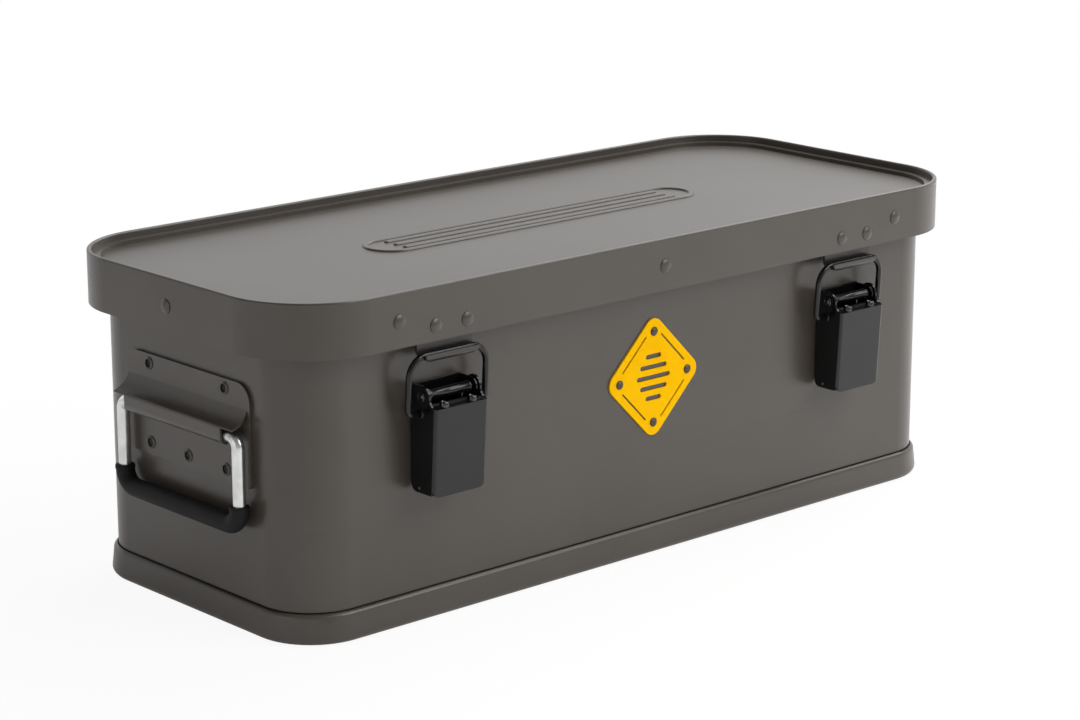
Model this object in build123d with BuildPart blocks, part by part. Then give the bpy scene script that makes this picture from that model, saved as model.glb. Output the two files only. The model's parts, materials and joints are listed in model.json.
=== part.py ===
from build123d import *

import os
from math import atan2, degrees

# A lined aluminium box for storing batteries: a sheet shell in a flared base pan, a
# framed lid hinged at the back, two draw latches in front and a drop handle on each end.
# Millimetres. The origin is the centre of the underside, +X runs along the length,
# -Y is the latch side and +Z is up.

# Overall case
LID_LENGTH = 600.0
LID_WIDTH = 250.0
LID_CORNER_R = 59.0
CASE_HEIGHT = 214.6
BAND_HEIGHT = 34.4
LID_OVERHANG = 15.4
BODY_CORNER_R = 38.0
SHEET = 1.5
SEAM = 0.05

# Base pan
PAN_HEIGHT = 19.7
PAN_FLARE = 4.9
PAN_SHOULDER = 2.7
PAN_FLOOR = 1.5
PAN_BOTTOM_R = 4.5
PAN_TOP_R = 3.2
PAN_JOINT_WIDTH = 0.6
PAN_JOINT_DEPTH = 2.0

# Body wall, its pressed crease and its folded rim
CREASE_Z = 70.0
CREASE_WIDTH = 2.4
CREASE_DEPTH = 0.4
RIM_DROP = 19.6
RIM_SHEET = 1.2
RIM_LIP = 8.0

# Fire lining
LINER_GAP = 2.4
LINER_WALL = 8.0
LINER_FLOOR = 10.0
LINER_PLAY = 0.3
LINER_MITRE = 0.3

# Lid: band, inner frame, panel, seal and lining
BAND_SHEET = 2.0
LID_RIM_WIDTH = 3.0
LID_RIM_DROP = 4.5
LID_RIM_R = 1.2
LEDGE_WIDTH = 5.5
LEDGE_THICKNESS = 2.5
PANEL_THICKNESS = 1.6
LID_LINER = 5.0
FRAME_SHEET = 1.5
FRAME_LEG = 6.3
SEAL_PLAY = 0.3
SEAL_WIDTH = 10.0

# Pressed pattern on the panel: a long ring bead round three straight beads
BEAD_LENGTH = 285.0
BEAD_WIDTH = 38.0
BEAD_HEIGHT = 1.0
BEAD_LINE = 4.0
BEAD_PITCH = 9.5
BEAD_INSET = 42.0

# Rivets
RIVET_HEAD_R = 4.6
RIVET_HEAD_HEIGHT = 1.7
RIVET_CROWN = 0.6
RIVET_SHANK_R = 2.2
BAND_RIVET_DROP = 18.1
BAND_RIVET_STEP = 40.5

# Sign plate
SIGN_SIZE = 60.0
SIGN_CORNER_R = 8.0
SIGN_THICKNESS = 1.2
SIGN_X = 4.0
SIGN_Z = 119.5
SIGN_RIVET_R = 30.5
SIGN_RIVET_HEAD_R = 3.0
SIGN_SLOT_INSET = 5.5
SIGN_SLOT_LENGTH = 30.0
SIGN_SLOT_WIDTH = 1.3
LOUVRE_WIDTH = 3.2
LOUVRE_LENGTHS = (14.0, 24.0, 30.0, 24.0, 14.0)
LOUVRE_PITCH = 7.0

# Draw latches
LATCH_INSET = 120.5
LATCH_DROP = 33.9
LEVER_WIDTH = 42.0
LEVER_SHEET = 1.5
LEVER_TOP_DROP = 6.3
LEVER_LENGTH = 56.0
LEVER_TOP_DEPTH = 24.4
LEVER_BOTTOM_DEPTH = 21.2
LEVER_BACK_GAP = 0.8
LEVER_EDGE_R = 2.2
LEVER_CORNER_R = 5.5
LEVER_TONGUE = 1.2
LEVER_HEEL_R = 5.0
LEVER_EAR_R = 6.8
LEVER_SHELF = 7.4
LEVER_SHELF_RISE = 2.0
LEVER_STUD_R = 2.5
LEVER_STUD_X = 11.0
PIVOT_DEPTH = 11.4
PIVOT_R = 2.0
PIVOT_HEAD_R = 3.1
PIVOT_HEAD = 1.0
BARREL_R = 3.6
FIT = 0.06
SIDE_PLAY = 0.3
LATCH_EAR_R = 5.6
LATCH_BASE_LENGTH = 62.5
LATCH_BASE_RISE = 6.2
LATCH_RIVET_DROPS = (44.3, 20.3)
LATCH_RIVET_HEAD_R = 3.5

# Latch wire bail
BAIL_WIRE_R = 2.0
BAIL_WIDTH = 65.0
BAIL_PIVOT_DEPTH = 9.7
BAIL_PIVOT_DROP = 10.8
BAIL_BAR_DEPTH = 11.9
BAIL_BAR_RISE = 25.2
BAIL_TOP_R = 13.0
BAIL_FOOT_R = 4.0
BAIL_END_INSET = 1.0

# Catch hook on the lid
CATCH_WIDTH = 44.0
CATCH_HOOK_R = 8.0
CATCH_SHEET = 1.8
CATCH_RIVET_X = 12.5
CATCH_RIVET_RISE = 9.5
CATCH_FLANGE_RISE = 12.8
CATCH_JOGGLE_RISE = 4.1
CATCH_NECK_PLAY = 1.2
CATCH_LIP_PLAY = 1.1
CATCH_FLOOR_PLAY = 0.6
CATCH_LIP_RISE = 1.1
CATCH_BEND_R = 1.5

# End handles
HANDLE_HALF = 64.0
HANDLE_BOTTOM_Z = 92.0
HANDLE_HEIGHT = 65.0
HANDLE_CORNER_R = 12.0
HANDLE_FOOT_R = 4.0
HANDLE_SHEET = 2.0
HOOD_SHEET = 1.5
HOOD_DROP = 15.5
HOOD_TIP_RISE = 6.2
HOOD_TIP_R = 1.8
HOOD_INSET = 2.5
HOOD_NOTCH = 14.0
HOOD_SAG = 1.4
GRIP_AXIS_DEPTH = 8.3
GRIP_AXIS_DROP = 32.0
HANDLE_WIRE_R = 4.0
HANDLE_WIRE_PLAY = 0.4
HANDLE_DROP = 55.5
HANDLE_TOP_BEND_R = 6.5
HANDLE_BEND_R = 11.0
HANDLE_WIRE_GAP = 1.0
GRIP_R = 6.0
GRIP_RISE = 13.0
HANDLE_RIVET_R = 4.0
HANDLE_RIVET_HEAD = 1.8
HANDLE_RIVET_SOCKET_R = 2.0
HANDLE_RIVET_INSET = 24.8
HANDLE_RIVET_TOP = 6.0
HANDLE_RIVET_BOTTOM = 8.0

# Rear hinges
HINGE_INSET = 120.5
HINGE_WIDTH = 50.0
HINGE_SHEET = 1.6
KNUCKLE_R = 4.0
KNUCKLE_WIDTH = 19.4
KNUCKLE_GAP = 0.3
HINGE_PIN_R = 1.95
HINGE_PIN_HEAD_R = 3.0
HINGE_PIN_HEAD = 1.0
HINGE_DROP = 2.2
HINGE_LEAF_LIFT = 4.5
HINGE_LEAF_RISE = 29.0
HINGE_LEAF_LENGTH = 38.0
HINGE_RIVET_X = 15.0
HINGE_RIVET_DROP = 25.0
HINGE_RIVET_CLEAR = 15.5

# Worked out from the sizes above
BODY_LENGTH = LID_LENGTH - 2 * LID_OVERHANG
BODY_WIDTH = LID_WIDTH - 2 * LID_OVERHANG
BODY_X = BODY_LENGTH / 2
BODY_Y = BODY_WIDTH / 2
LID_X = LID_LENGTH / 2
LID_Y = LID_WIDTH / 2
BAND_BOTTOM_Z = CASE_HEIGHT - BAND_HEIGHT
LEDGE_TOP_Z = CASE_HEIGHT - LID_RIM_DROP
PANEL_TOP_Z = LEDGE_TOP_Z - LEDGE_THICKNESS
PANEL_BOTTOM_Z = PANEL_TOP_Z - PANEL_THICKNESS
FRAME_TOP_Z = PANEL_BOTTOM_Z - LID_LINER
SEAL_TOP_Z = FRAME_TOP_Z - FRAME_SHEET
RIM_Z = CASE_HEIGHT - RIM_DROP
LINER_INSET = SHEET + LINER_GAP + LINER_WALL
PANEL_INSET = BAND_SHEET + SEAM
LEDGE_INSET = LID_RIM_WIDTH + LEDGE_WIDTH
FRAME_FLANGE_INSET = LID_OVERHANG + LINER_INSET + RIM_SHEET
SEAL_INSET = LID_OVERHANG + (LINER_INSET - SEAL_WIDTH) / 2
LATCH_X = LID_X - LATCH_INSET
PIVOT_Z = BAND_BOTTOM_Z - LATCH_DROP
LEVER_TOP_Z = PIVOT_Z - LEVER_TOP_DROP
LEVER_BOTTOM_Z = LEVER_TOP_Z - LEVER_LENGTH
LATCH_BASE_TOP_Z = PIVOT_Z + LATCH_BASE_RISE
BAIL_PIVOT_Z = PIVOT_Z - BAIL_PIVOT_DROP
BAIL_BAR_Z = PIVOT_Z + BAIL_BAR_RISE
LEVER_INNER = LEVER_WIDTH / 2 - LEVER_SHEET
EAR_OUTER = LEVER_INNER - SIDE_PLAY
PIVOT_Y = -BODY_Y - PIVOT_DEPTH
BAIL_PIVOT_Y = -BODY_Y - BAIL_PIVOT_DEPTH
BAIL_BAR_Y = -BODY_Y - BAIL_BAR_DEPTH
BAND_RIVET_Z = CASE_HEIGHT - BAND_RIVET_DROP
BAND_RIVET_X = LATCH_X + BAND_RIVET_STEP
CATCH_RIVET_Z = BAND_BOTTOM_Z + CATCH_RIVET_RISE
HINGE_X = LID_X - HINGE_INSET
HINGE_Y = LID_Y + KNUCKLE_R
HINGE_Z = BAND_BOTTOM_Z - HINGE_DROP
HANDLE_TOP_Z = HANDLE_BOTTOM_Z + HANDLE_HEIGHT
GRIP_AXIS_Z = HANDLE_TOP_Z - GRIP_AXIS_DROP
HANDLE_WIRE_HALF = HANDLE_HALF - HANDLE_WIRE_R
HANDLE_RIVET_Y = HANDLE_HALF - HANDLE_RIVET_INSET
SIDES = {"left": -1, "right": 1}

os.makedirs("parts", exist_ok=True)


def save(part: Part, label: str) -> None:
    """Label a finished piece and write it as one STEP file."""
    part.label = label
    export_step(part, f"parts/{label}.step")


def body_outline(grow: float) -> Sketch:
    """Plan outline of the body wall, grown outwards, or inwards where negative."""
    length, width = BODY_LENGTH + 2 * grow, BODY_WIDTH + 2 * grow
    return RectangleRounded(length, width, BODY_CORNER_R + grow, mode=Mode.PRIVATE)


def lid_outline(inset: float) -> Sketch:
    """Plan outline of the lid band, set in by the given distance."""
    length, width = LID_LENGTH - 2 * inset, LID_WIDTH - 2 * inset
    return RectangleRounded(length, width, LID_CORNER_R - inset, mode=Mode.PRIVATE)


def front_plane(x: float, z: float, depth: float = 0.0) -> Plane:
    """Plane that faces out of the front at x and z, depth in front of the body wall."""
    return Plane(origin=(x, -BODY_Y - depth, z), x_dir=(1, 0, 0), z_dir=(0, -1, 0))


def back_plane(x: float, z: float, depth: float = 0.0) -> Plane:
    """Plane that faces out of the back at x and z, depth behind the body wall."""
    return Plane(origin=(x, BODY_Y + depth, z), x_dir=(-1, 0, 0), z_dir=(0, 1, 0))


def end_plane(side: int, y: float, z: float, depth: float = 0.0) -> Plane:
    """Plane that faces out of one end at y and z, depth outside the body wall."""
    return Plane(origin=(side * (BODY_X + depth), y, z), x_dir=(0, side, 0), z_dir=(side, 0, 0))


def rivet(head_r: float, head_height: float, grip: float, socket_r: float = 0.0) -> Part:
    """Rivet: coned head on z=0, shank down through the grip, and a socket if hollow."""
    with BuildPart() as piece:
        with BuildSketch(Plane.XZ):
            with BuildLine():
                Polyline(
                    (0, head_height),
                    (RIVET_CROWN * head_r, head_height),
                    (head_r, 0),
                    (RIVET_SHANK_R, 0),
                    (RIVET_SHANK_R, -grip),
                    (0, -grip),
                    close=True,
                )
            make_face()
        revolve(axis=Axis.Z)
        if socket_r > 0:
            with Locations((0, 0, head_height)):
                Cylinder(socket_r, 2 * head_height, mode=Mode.SUBTRACT)
    return piece.part


def rivets_at(planes: list, head_r: float, head_height: float, grip: float, socket_r: float = 0.0) -> Part:
    """A set of equal rivets, one on each plane."""
    one = rivet(head_r, head_height, grip, socket_r)
    with BuildPart() as pieces:
        with Locations(*[plane.location for plane in planes]):
            add(one)
    return pieces.part


def drill(planes: list, depth: float) -> None:
    """Shank holes through the piece in hand, one at each plane."""
    with Locations(*[plane.location for plane in planes]):
        Cylinder(RIVET_SHANK_R + SEAM, 2 * depth, mode=Mode.SUBTRACT)


# Rivet places, shared by the rivets and by the holes that they pass
back_rivet_x = HINGE_X + HINGE_WIDTH / 2 + HINGE_RIVET_CLEAR
band_planes = [front_plane(x, BAND_RIVET_Z, LID_OVERHANG) for x in (-BAND_RIVET_X, 0, BAND_RIVET_X)]
band_planes += [back_plane(x, BAND_RIVET_Z, LID_OVERHANG) for x in (-back_rivet_x, 0, back_rivet_x)]
band_planes += [end_plane(side, 0, BAND_RIVET_Z, LID_OVERHANG) for side in SIDES.values()]
catch_planes = {
    name: [front_plane(side * LATCH_X + x, CATCH_RIVET_Z, LID_OVERHANG) for x in (-CATCH_RIVET_X, CATCH_RIVET_X)]
    for name, side in SIDES.items()
}
latch_planes = {
    name: [front_plane(side * LATCH_X, PIVOT_Z - drop, LEVER_SHEET) for drop in LATCH_RIVET_DROPS]
    for name, side in SIDES.items()
}
sign_planes = [
    front_plane(SIGN_X + x * SIGN_RIVET_R, SIGN_Z + z * SIGN_RIVET_R, SIGN_THICKNESS)
    for x, z in ((-1, 0), (1, 0), (0, -1), (0, 1))
]
upper_leaf_planes = {
    name: [
        back_plane(side * HINGE_X + x, BAND_RIVET_Z, LID_OVERHANG + HINGE_SHEET)
        for x in (-HINGE_RIVET_X, HINGE_RIVET_X)
    ]
    for name, side in SIDES.items()
}
lower_leaf_planes = {
    name: [
        back_plane(side * HINGE_X + x, HINGE_Z - HINGE_RIVET_DROP, HINGE_SHEET)
        for x in (-HINGE_RIVET_X, HINGE_RIVET_X)
    ]
    for name, side in SIDES.items()
}
handle_planes = {
    name: [
        end_plane(side, y * HANDLE_RIVET_Y, z, HANDLE_SHEET)
        for y, z in (
            (-1, HANDLE_TOP_Z - HANDLE_RIVET_TOP),
            (1, HANDLE_TOP_Z - HANDLE_RIVET_TOP),
            (-1, HANDLE_BOTTOM_Z + HANDLE_RIVET_BOTTOM),
            (0, HANDLE_BOTTOM_Z + HANDLE_RIVET_BOTTOM),
            (1, HANDLE_BOTTOM_Z + HANDLE_RIVET_BOTTOM),
        )
    ]
    for name, side in SIDES.items()
}
wall_planes = sum(latch_planes.values(), []) + sum(handle_planes.values(), [])
wall_planes += sum(lower_leaf_planes.values(), []) + sign_planes

# Base pan: a pressed floor with a flared skirt that the body wall stands in
with BuildPart() as base_pan:
    with BuildSketch():
        add(body_outline(PAN_FLARE))
    extrude(amount=PAN_HEIGHT, taper=degrees(atan2(PAN_FLARE - PAN_SHOULDER, PAN_HEIGHT)))
    fillet(base_pan.faces().sort_by(Axis.Z)[0].edges(), PAN_BOTTOM_R)
    fillet(base_pan.faces().sort_by(Axis.Z)[-1].edges(), PAN_TOP_R)
    with BuildSketch(Plane.XY.offset(PAN_FLOOR)):
        add(body_outline(SEAM))
    extrude(amount=PAN_HEIGHT, mode=Mode.SUBTRACT)
    with BuildSketch(Plane.XY.offset(PAN_HEIGHT - PAN_JOINT_DEPTH)):
        add(body_outline(PAN_JOINT_WIDTH))
    extrude(amount=PAN_JOINT_DEPTH, mode=Mode.SUBTRACT)
save(base_pan.part, "base_pan")

# Body wall: one sheet bent round, with a shallow crease pressed in all round
with BuildPart() as body_shell:
    with BuildSketch(Plane.XY.offset(PAN_FLOOR)):
        add(body_outline(0))
        add(body_outline(-SHEET), mode=Mode.SUBTRACT)
    extrude(amount=RIM_Z - RIM_SHEET - PAN_FLOOR)
    with BuildSketch(Plane.XY.offset(CREASE_Z - CREASE_WIDTH / 2)):
        add(body_outline(SHEET))
        add(body_outline(-CREASE_DEPTH), mode=Mode.SUBTRACT)
    extrude(amount=CREASE_WIDTH, mode=Mode.SUBTRACT)
    drill(wall_planes, HANDLE_SHEET + 2 * SHEET)
save(body_shell.part, "body_shell")

# Rim: a folded channel over the top edges of the wall and of its lining
with BuildPart() as body_rim:
    with BuildSketch(Plane.XY.offset(RIM_Z - RIM_LIP)):
        add(body_outline(RIM_SHEET))
        add(body_outline(-LINER_INSET - RIM_SHEET), mode=Mode.SUBTRACT)
    extrude(amount=RIM_LIP)
    with BuildSketch(Plane.XY.offset(RIM_Z - RIM_LIP)):
        add(body_outline(SEAM))
        add(body_outline(-LINER_INSET - SEAM), mode=Mode.SUBTRACT)
    extrude(amount=RIM_LIP - RIM_SHEET, mode=Mode.SUBTRACT)
save(body_rim.part, "body_rim")

# Lining: a floor board, and four blanket strips, mitred in the corners, that stand on it
with BuildPart() as liner_floor:
    with BuildSketch(Plane.XY.offset(PAN_FLOOR)):
        add(body_outline(-SHEET - LINER_PLAY))
    extrude(amount=LINER_FLOOR)
save(liner_floor.part, "liner_floor")

with BuildPart() as liner_wall:
    with BuildSketch(Plane.XY.offset(PAN_FLOOR + LINER_FLOOR)):
        add(body_outline(-SHEET - LINER_GAP))
        add(body_outline(-LINER_INSET), mode=Mode.SUBTRACT)
        for x, y in ((-1, -1), (-1, 1), (1, -1), (1, 1)):
            with Locations((x * (BODY_X - BODY_CORNER_R), y * (BODY_Y - BODY_CORNER_R))):
                Rectangle(3 * BODY_CORNER_R, LINER_MITRE, rotation=45 * x * y, mode=Mode.SUBTRACT)
    extrude(amount=RIM_Z - RIM_SHEET - PAN_FLOOR - LINER_FLOOR)
save(liner_wall.part, "liner_wall")

# Lid band: the outer wall, a rounded rim and the ledge that clamps the panel
with BuildPart() as lid_band:
    with BuildSketch(Plane.XY.offset(BAND_BOTTOM_Z)):
        add(lid_outline(0))
    extrude(amount=BAND_HEIGHT)
    with BuildSketch(Plane.XY.offset(LEDGE_TOP_Z)):
        add(lid_outline(LID_RIM_WIDTH))
    extrude(amount=LID_RIM_DROP, mode=Mode.SUBTRACT)
    fillet(lid_band.edges().group_by(Axis.Z)[-1], LID_RIM_R)
    with BuildSketch(Plane.XY.offset(PANEL_TOP_Z)):
        add(lid_outline(LEDGE_INSET))
    extrude(amount=LEDGE_THICKNESS, mode=Mode.SUBTRACT)
    with BuildSketch(Plane.XY.offset(BAND_BOTTOM_Z)):
        add(lid_outline(BAND_SHEET))
    extrude(amount=PANEL_TOP_Z - BAND_BOTTOM_Z, mode=Mode.SUBTRACT)
    drill(band_planes + sum(catch_planes.values(), []) + sum(upper_leaf_planes.values(), []), 2 * BAND_SHEET)
save(lid_band.part, "lid_band")

# Lid panel with its pressed beads
with BuildPart() as lid_panel:
    with BuildSketch(Plane.XY.offset(PANEL_BOTTOM_Z)):
        add(lid_outline(PANEL_INSET))
    extrude(amount=PANEL_THICKNESS)
    with BuildSketch(Plane.XY.offset(PANEL_TOP_Z)):
        SlotOverall(BEAD_LENGTH, BEAD_WIDTH)
        SlotOverall(BEAD_LENGTH - 2 * BEAD_LINE, BEAD_WIDTH - 2 * BEAD_LINE, mode=Mode.SUBTRACT)
        with GridLocations(0, BEAD_PITCH, 1, 3):
            SlotOverall(BEAD_LENGTH - BEAD_INSET, BEAD_LINE)
    extrude(amount=BEAD_HEIGHT)
    chamfer(lid_panel.edges().group_by(Axis.Z)[-1], BEAD_HEIGHT * 0.7)
save(lid_panel.part, "lid_panel")

# Lid frame: an angle inside the band whose flange carries the lining and the seal
with BuildPart() as lid_frame:
    with BuildSketch(Plane.XY.offset(SEAL_TOP_Z - FRAME_LEG)):
        add(lid_outline(PANEL_INSET))
        add(lid_outline(PANEL_INSET + FRAME_SHEET), mode=Mode.SUBTRACT)
    extrude(amount=FRAME_LEG + FRAME_SHEET)
    with BuildSketch(Plane.XY.offset(SEAL_TOP_Z)):
        add(lid_outline(PANEL_INSET))
        add(lid_outline(FRAME_FLANGE_INSET), mode=Mode.SUBTRACT)
    extrude(amount=FRAME_SHEET)
    drill(band_planes + sum(upper_leaf_planes.values(), []), 2 * (BAND_SHEET + FRAME_SHEET))
save(lid_frame.part, "lid_frame")

# Lid lining and seal
with BuildPart() as lid_liner:
    with BuildSketch(Plane.XY.offset(FRAME_TOP_Z)):
        add(lid_outline(PANEL_INSET + LINER_PLAY))
    extrude(amount=LID_LINER)
save(lid_liner.part, "lid_liner")

with BuildPart() as lid_seal:
    with BuildSketch(Plane.XY.offset(RIM_Z + SEAL_PLAY)):
        add(body_outline(LID_OVERHANG - SEAL_INSET))
        add(body_outline(LID_OVERHANG - SEAL_INSET - SEAL_WIDTH), mode=Mode.SUBTRACT)
    extrude(amount=SEAL_TOP_Z - RIM_Z - SEAL_PLAY)
    chamfer(lid_seal.edges().group_by(Axis.Z)[0], SEAL_WIDTH / 5)
save(lid_seal.part, "lid_seal")

save(rivets_at(band_planes, RIVET_HEAD_R, RIVET_HEAD_HEIGHT, PANEL_INSET + FRAME_SHEET), "lid_rivets")

# Sign plate: a plain rounded square on its corner, with border slots and a louvre
with BuildPart() as sign_plate:
    with BuildSketch(front_plane(SIGN_X, SIGN_Z)):
        RectangleRounded(SIGN_SIZE, SIGN_SIZE, SIGN_CORNER_R, rotation=45)
        with Locations(Rotation(0, 0, 45)):
            with PolarLocations(SIGN_SIZE / 2 - SIGN_SLOT_INSET, 4):
                SlotOverall(SIGN_SLOT_LENGTH, SIGN_SLOT_WIDTH, rotation=90, mode=Mode.SUBTRACT)
        for row, length in enumerate(LOUVRE_LENGTHS):
            with Locations((0, (row - (len(LOUVRE_LENGTHS) - 1) / 2) * LOUVRE_PITCH)):
                SlotOverall(length, LOUVRE_WIDTH, mode=Mode.SUBTRACT)
    extrude(amount=SIGN_THICKNESS)
    drill(sign_planes, 2 * SIGN_THICKNESS)
save(sign_plate.part, "sign_plate")
save(rivets_at(sign_planes, SIGN_RIVET_HEAD_R, RIVET_HEAD_HEIGHT, SIGN_THICKNESS + SHEET), "sign_rivets")


def latch_base(x: float, planes: list) -> Part:
    """Wall plate of a latch with the two ears that hold the lever's axle."""
    with BuildPart() as base:
        with BuildSketch(front_plane(x, LATCH_BASE_TOP_Z)):
            Rectangle(2 * EAR_OUTER, LATCH_BASE_LENGTH, align=(Align.CENTER, Align.MAX))
        extrude(amount=LEVER_SHEET)
        with BuildSketch(Plane.YZ.offset(x - EAR_OUTER)):
            with Locations((PIVOT_Y, PIVOT_Z)):
                Circle(LATCH_EAR_R)
                Rectangle(PIVOT_DEPTH, 2 * LATCH_EAR_R, align=(Align.MIN, Align.CENTER))
                Circle(PIVOT_R + SEAM, mode=Mode.SUBTRACT)
        extrude(amount=2 * EAR_OUTER)
        with BuildSketch(Plane.YZ.offset(x - EAR_OUTER + LEVER_SHEET)):
            with Locations((PIVOT_Y, PIVOT_Z)):
                Rectangle(PIVOT_DEPTH - LEVER_SHEET, 4 * LATCH_EAR_R, align=(Align.MIN, Align.CENTER))
                Rectangle(2 * LATCH_EAR_R, 4 * LATCH_EAR_R, align=(Align.MAX, Align.CENTER))
        extrude(amount=2 * (EAR_OUTER - LEVER_SHEET), mode=Mode.SUBTRACT)
        drill(planes, 2 * LEVER_SHEET)
    return base.part


def latch_axle(x: float) -> Part:
    """Headed axle with the thick barrel between the ears."""
    head_x = LEVER_WIDTH / 2 + SIDE_PLAY
    barrel_x = EAR_OUTER - LEVER_SHEET - SIDE_PLAY
    with BuildPart() as axle:
        with BuildSketch(Plane(origin=(x, PIVOT_Y, PIVOT_Z), x_dir=(1, 0, 0), z_dir=(0, 0, 1))):
            Rectangle(2 * head_x, PIVOT_R, align=(Align.CENTER, Align.MIN))
            Rectangle(2 * barrel_x, BARREL_R, align=(Align.CENTER, Align.MIN))
            with Locations((-head_x - PIVOT_HEAD / 2, 0), (head_x + PIVOT_HEAD / 2, 0)):
                Rectangle(PIVOT_HEAD, PIVOT_HEAD_R, align=(Align.CENTER, Align.MIN))
        revolve(axis=Axis((x, PIVOT_Y, PIVOT_Z), (1, 0, 0)))
    return axle.part


def latch_lever(x: float) -> Part:
    """Folded lever: a face with two side flanges whose ears turn on the axle."""
    back = -BODY_Y - LEVER_BACK_GAP
    top = (-BODY_Y - LEVER_TOP_DEPTH, LEVER_TOP_Z)
    bottom = (-BODY_Y - LEVER_BOTTOM_DEPTH, LEVER_BOTTOM_Z)
    ear_front = (PIVOT_Y - LEVER_EAR_R, PIVOT_Z)
    ear_back = (PIVOT_Y + LEVER_EAR_R, PIVOT_Z)
    neck = (back, BAIL_PIVOT_Z)
    heel = (back, LEVER_BOTTOM_Z + LEVER_TONGUE)
    tongue_back = bottom[0] + LEVER_SHEET
    shelf = (top[0] + LEVER_SHELF, LEVER_TOP_Z + LEVER_SHELF_RISE)
    with BuildPart() as lever:
        with BuildSketch(Plane.YZ.offset(x - LEVER_WIDTH / 2)) as side:
            with BuildLine():
                Polyline(top, bottom, (tongue_back, bottom[1]), (tongue_back, heel[1]), heel, neck, ear_back)
                ThreePointArc(ear_back, (PIVOT_Y, PIVOT_Z + LEVER_EAR_R), ear_front)
                Spline(ear_front, top, tangents=[(0, -1), (-1, -0.15)])
            make_face()
            fillet(side.vertices().sort_by_distance(heel)[0], LEVER_HEEL_R)
        extrude(amount=LEVER_WIDTH)
        front_edges = [
            edge
            for edge in lever.edges().filter_by(GeomType.LINE)
            if abs((edge @ 0).X - (edge @ 1).X) < SEAM and max((edge @ 0).Y, (edge @ 1).Y) < ear_front[0] - SEAM
            and abs((edge @ 0).Z - (edge @ 1).Z) > 2 * LEVER_CORNER_R
        ]
        fillet(front_edges, LEVER_EDGE_R)
        with BuildSketch(Plane.YZ.offset(x - LEVER_INNER)):
            with BuildLine():
                Polyline(
                    (0, LEVER_BOTTOM_Z - LEVER_CORNER_R),
                    (tongue_back, LEVER_BOTTOM_Z - LEVER_CORNER_R),
                    (tongue_back, LEVER_BOTTOM_Z),
                    (top[0] + LEVER_SHEET, LEVER_TOP_Z - LEVER_SHEET),
                    (shelf[0], shelf[1] - LEVER_SHEET),
                    (shelf[0], shelf[1]),
                    (top[0] + LEVER_EDGE_R, LEVER_TOP_Z + LEVER_SHELF_RISE / 3),
                    (top[0] + LEVER_EDGE_R, PIVOT_Z + 2 * LEVER_EAR_R),
                    (0, PIVOT_Z + 2 * LEVER_EAR_R),
                    close=True,
                )
            make_face()
        extrude(amount=2 * LEVER_INNER, mode=Mode.SUBTRACT)
        with BuildSketch(front_plane(x, LEVER_BOTTOM_Z, -BODY_Y - tongue_back)):
            Rectangle(2 * LEVER_WIDTH, LEVER_CORNER_R, align=(Align.CENTER, Align.MIN))
            with Locations((0, LEVER_CORNER_R)):
                Rectangle(LEVER_WIDTH - 2 * LEVER_CORNER_R, 2 * LEVER_CORNER_R, mode=Mode.SUBTRACT)
            with Locations(
                (LEVER_CORNER_R - LEVER_WIDTH / 2, LEVER_CORNER_R),
                (LEVER_WIDTH / 2 - LEVER_CORNER_R, LEVER_CORNER_R),
            ):
                Circle(LEVER_CORNER_R, mode=Mode.SUBTRACT)
        extrude(amount=2 * LEVER_TOP_DEPTH, mode=Mode.SUBTRACT)
        with Locations(*[(x + s * LEVER_STUD_X, (top[0] + shelf[0]) / 2, 0) for s in (-1, 1)]):
            with Locations((0, 0, LEVER_TOP_Z + LEVER_SHELF_RISE / 2)):
                Cylinder(LEVER_STUD_R, LEVER_SHEET, align=(Align.CENTER, Align.CENTER, Align.MIN))
        with Locations(Plane(origin=(x, PIVOT_Y, PIVOT_Z), z_dir=(1, 0, 0))):
            Cylinder(PIVOT_R + FIT, 2 * LEVER_WIDTH, mode=Mode.SUBTRACT)
        with Locations(Plane(origin=(x, BAIL_PIVOT_Y, BAIL_PIVOT_Z), z_dir=(1, 0, 0))):
            Cylinder(BAIL_WIRE_R + FIT, 2 * LEVER_WIDTH, mode=Mode.SUBTRACT)
    return lever.part


def latch_bail(x: float) -> Part:
    """Wire loop from the lever's side holes up and over the catch."""
    rise = BAIL_BAR_Z - BAIL_PIVOT_Z
    lean = BAIL_BAR_Y - BAIL_PIVOT_Y
    leg_x = BAIL_WIDTH / 2 - BAIL_WIRE_R
    end_x = LEVER_INNER - BAIL_END_INSET
    leg = (rise**2 + lean**2) ** 0.5
    loop = Plane(origin=(x, BAIL_PIVOT_Y, BAIL_PIVOT_Z), x_dir=(1, 0, 0), z_dir=(0, -rise, lean))
    with BuildPart() as bail:
        with BuildLine(loop) as route:
            FilletPolyline(
                (-end_x, 0),
                (-leg_x, 0),
                (-leg_x, leg),
                (leg_x, leg),
                (leg_x, 0),
                (end_x, 0),
                radius=[BAIL_FOOT_R, BAIL_TOP_R, BAIL_TOP_R, BAIL_FOOT_R],
            )
        with BuildSketch(Plane(route.line @ 0, z_dir=route.line % 0)):
            Circle(BAIL_WIRE_R)
        sweep(path=route.line)
    return bail.part


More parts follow.
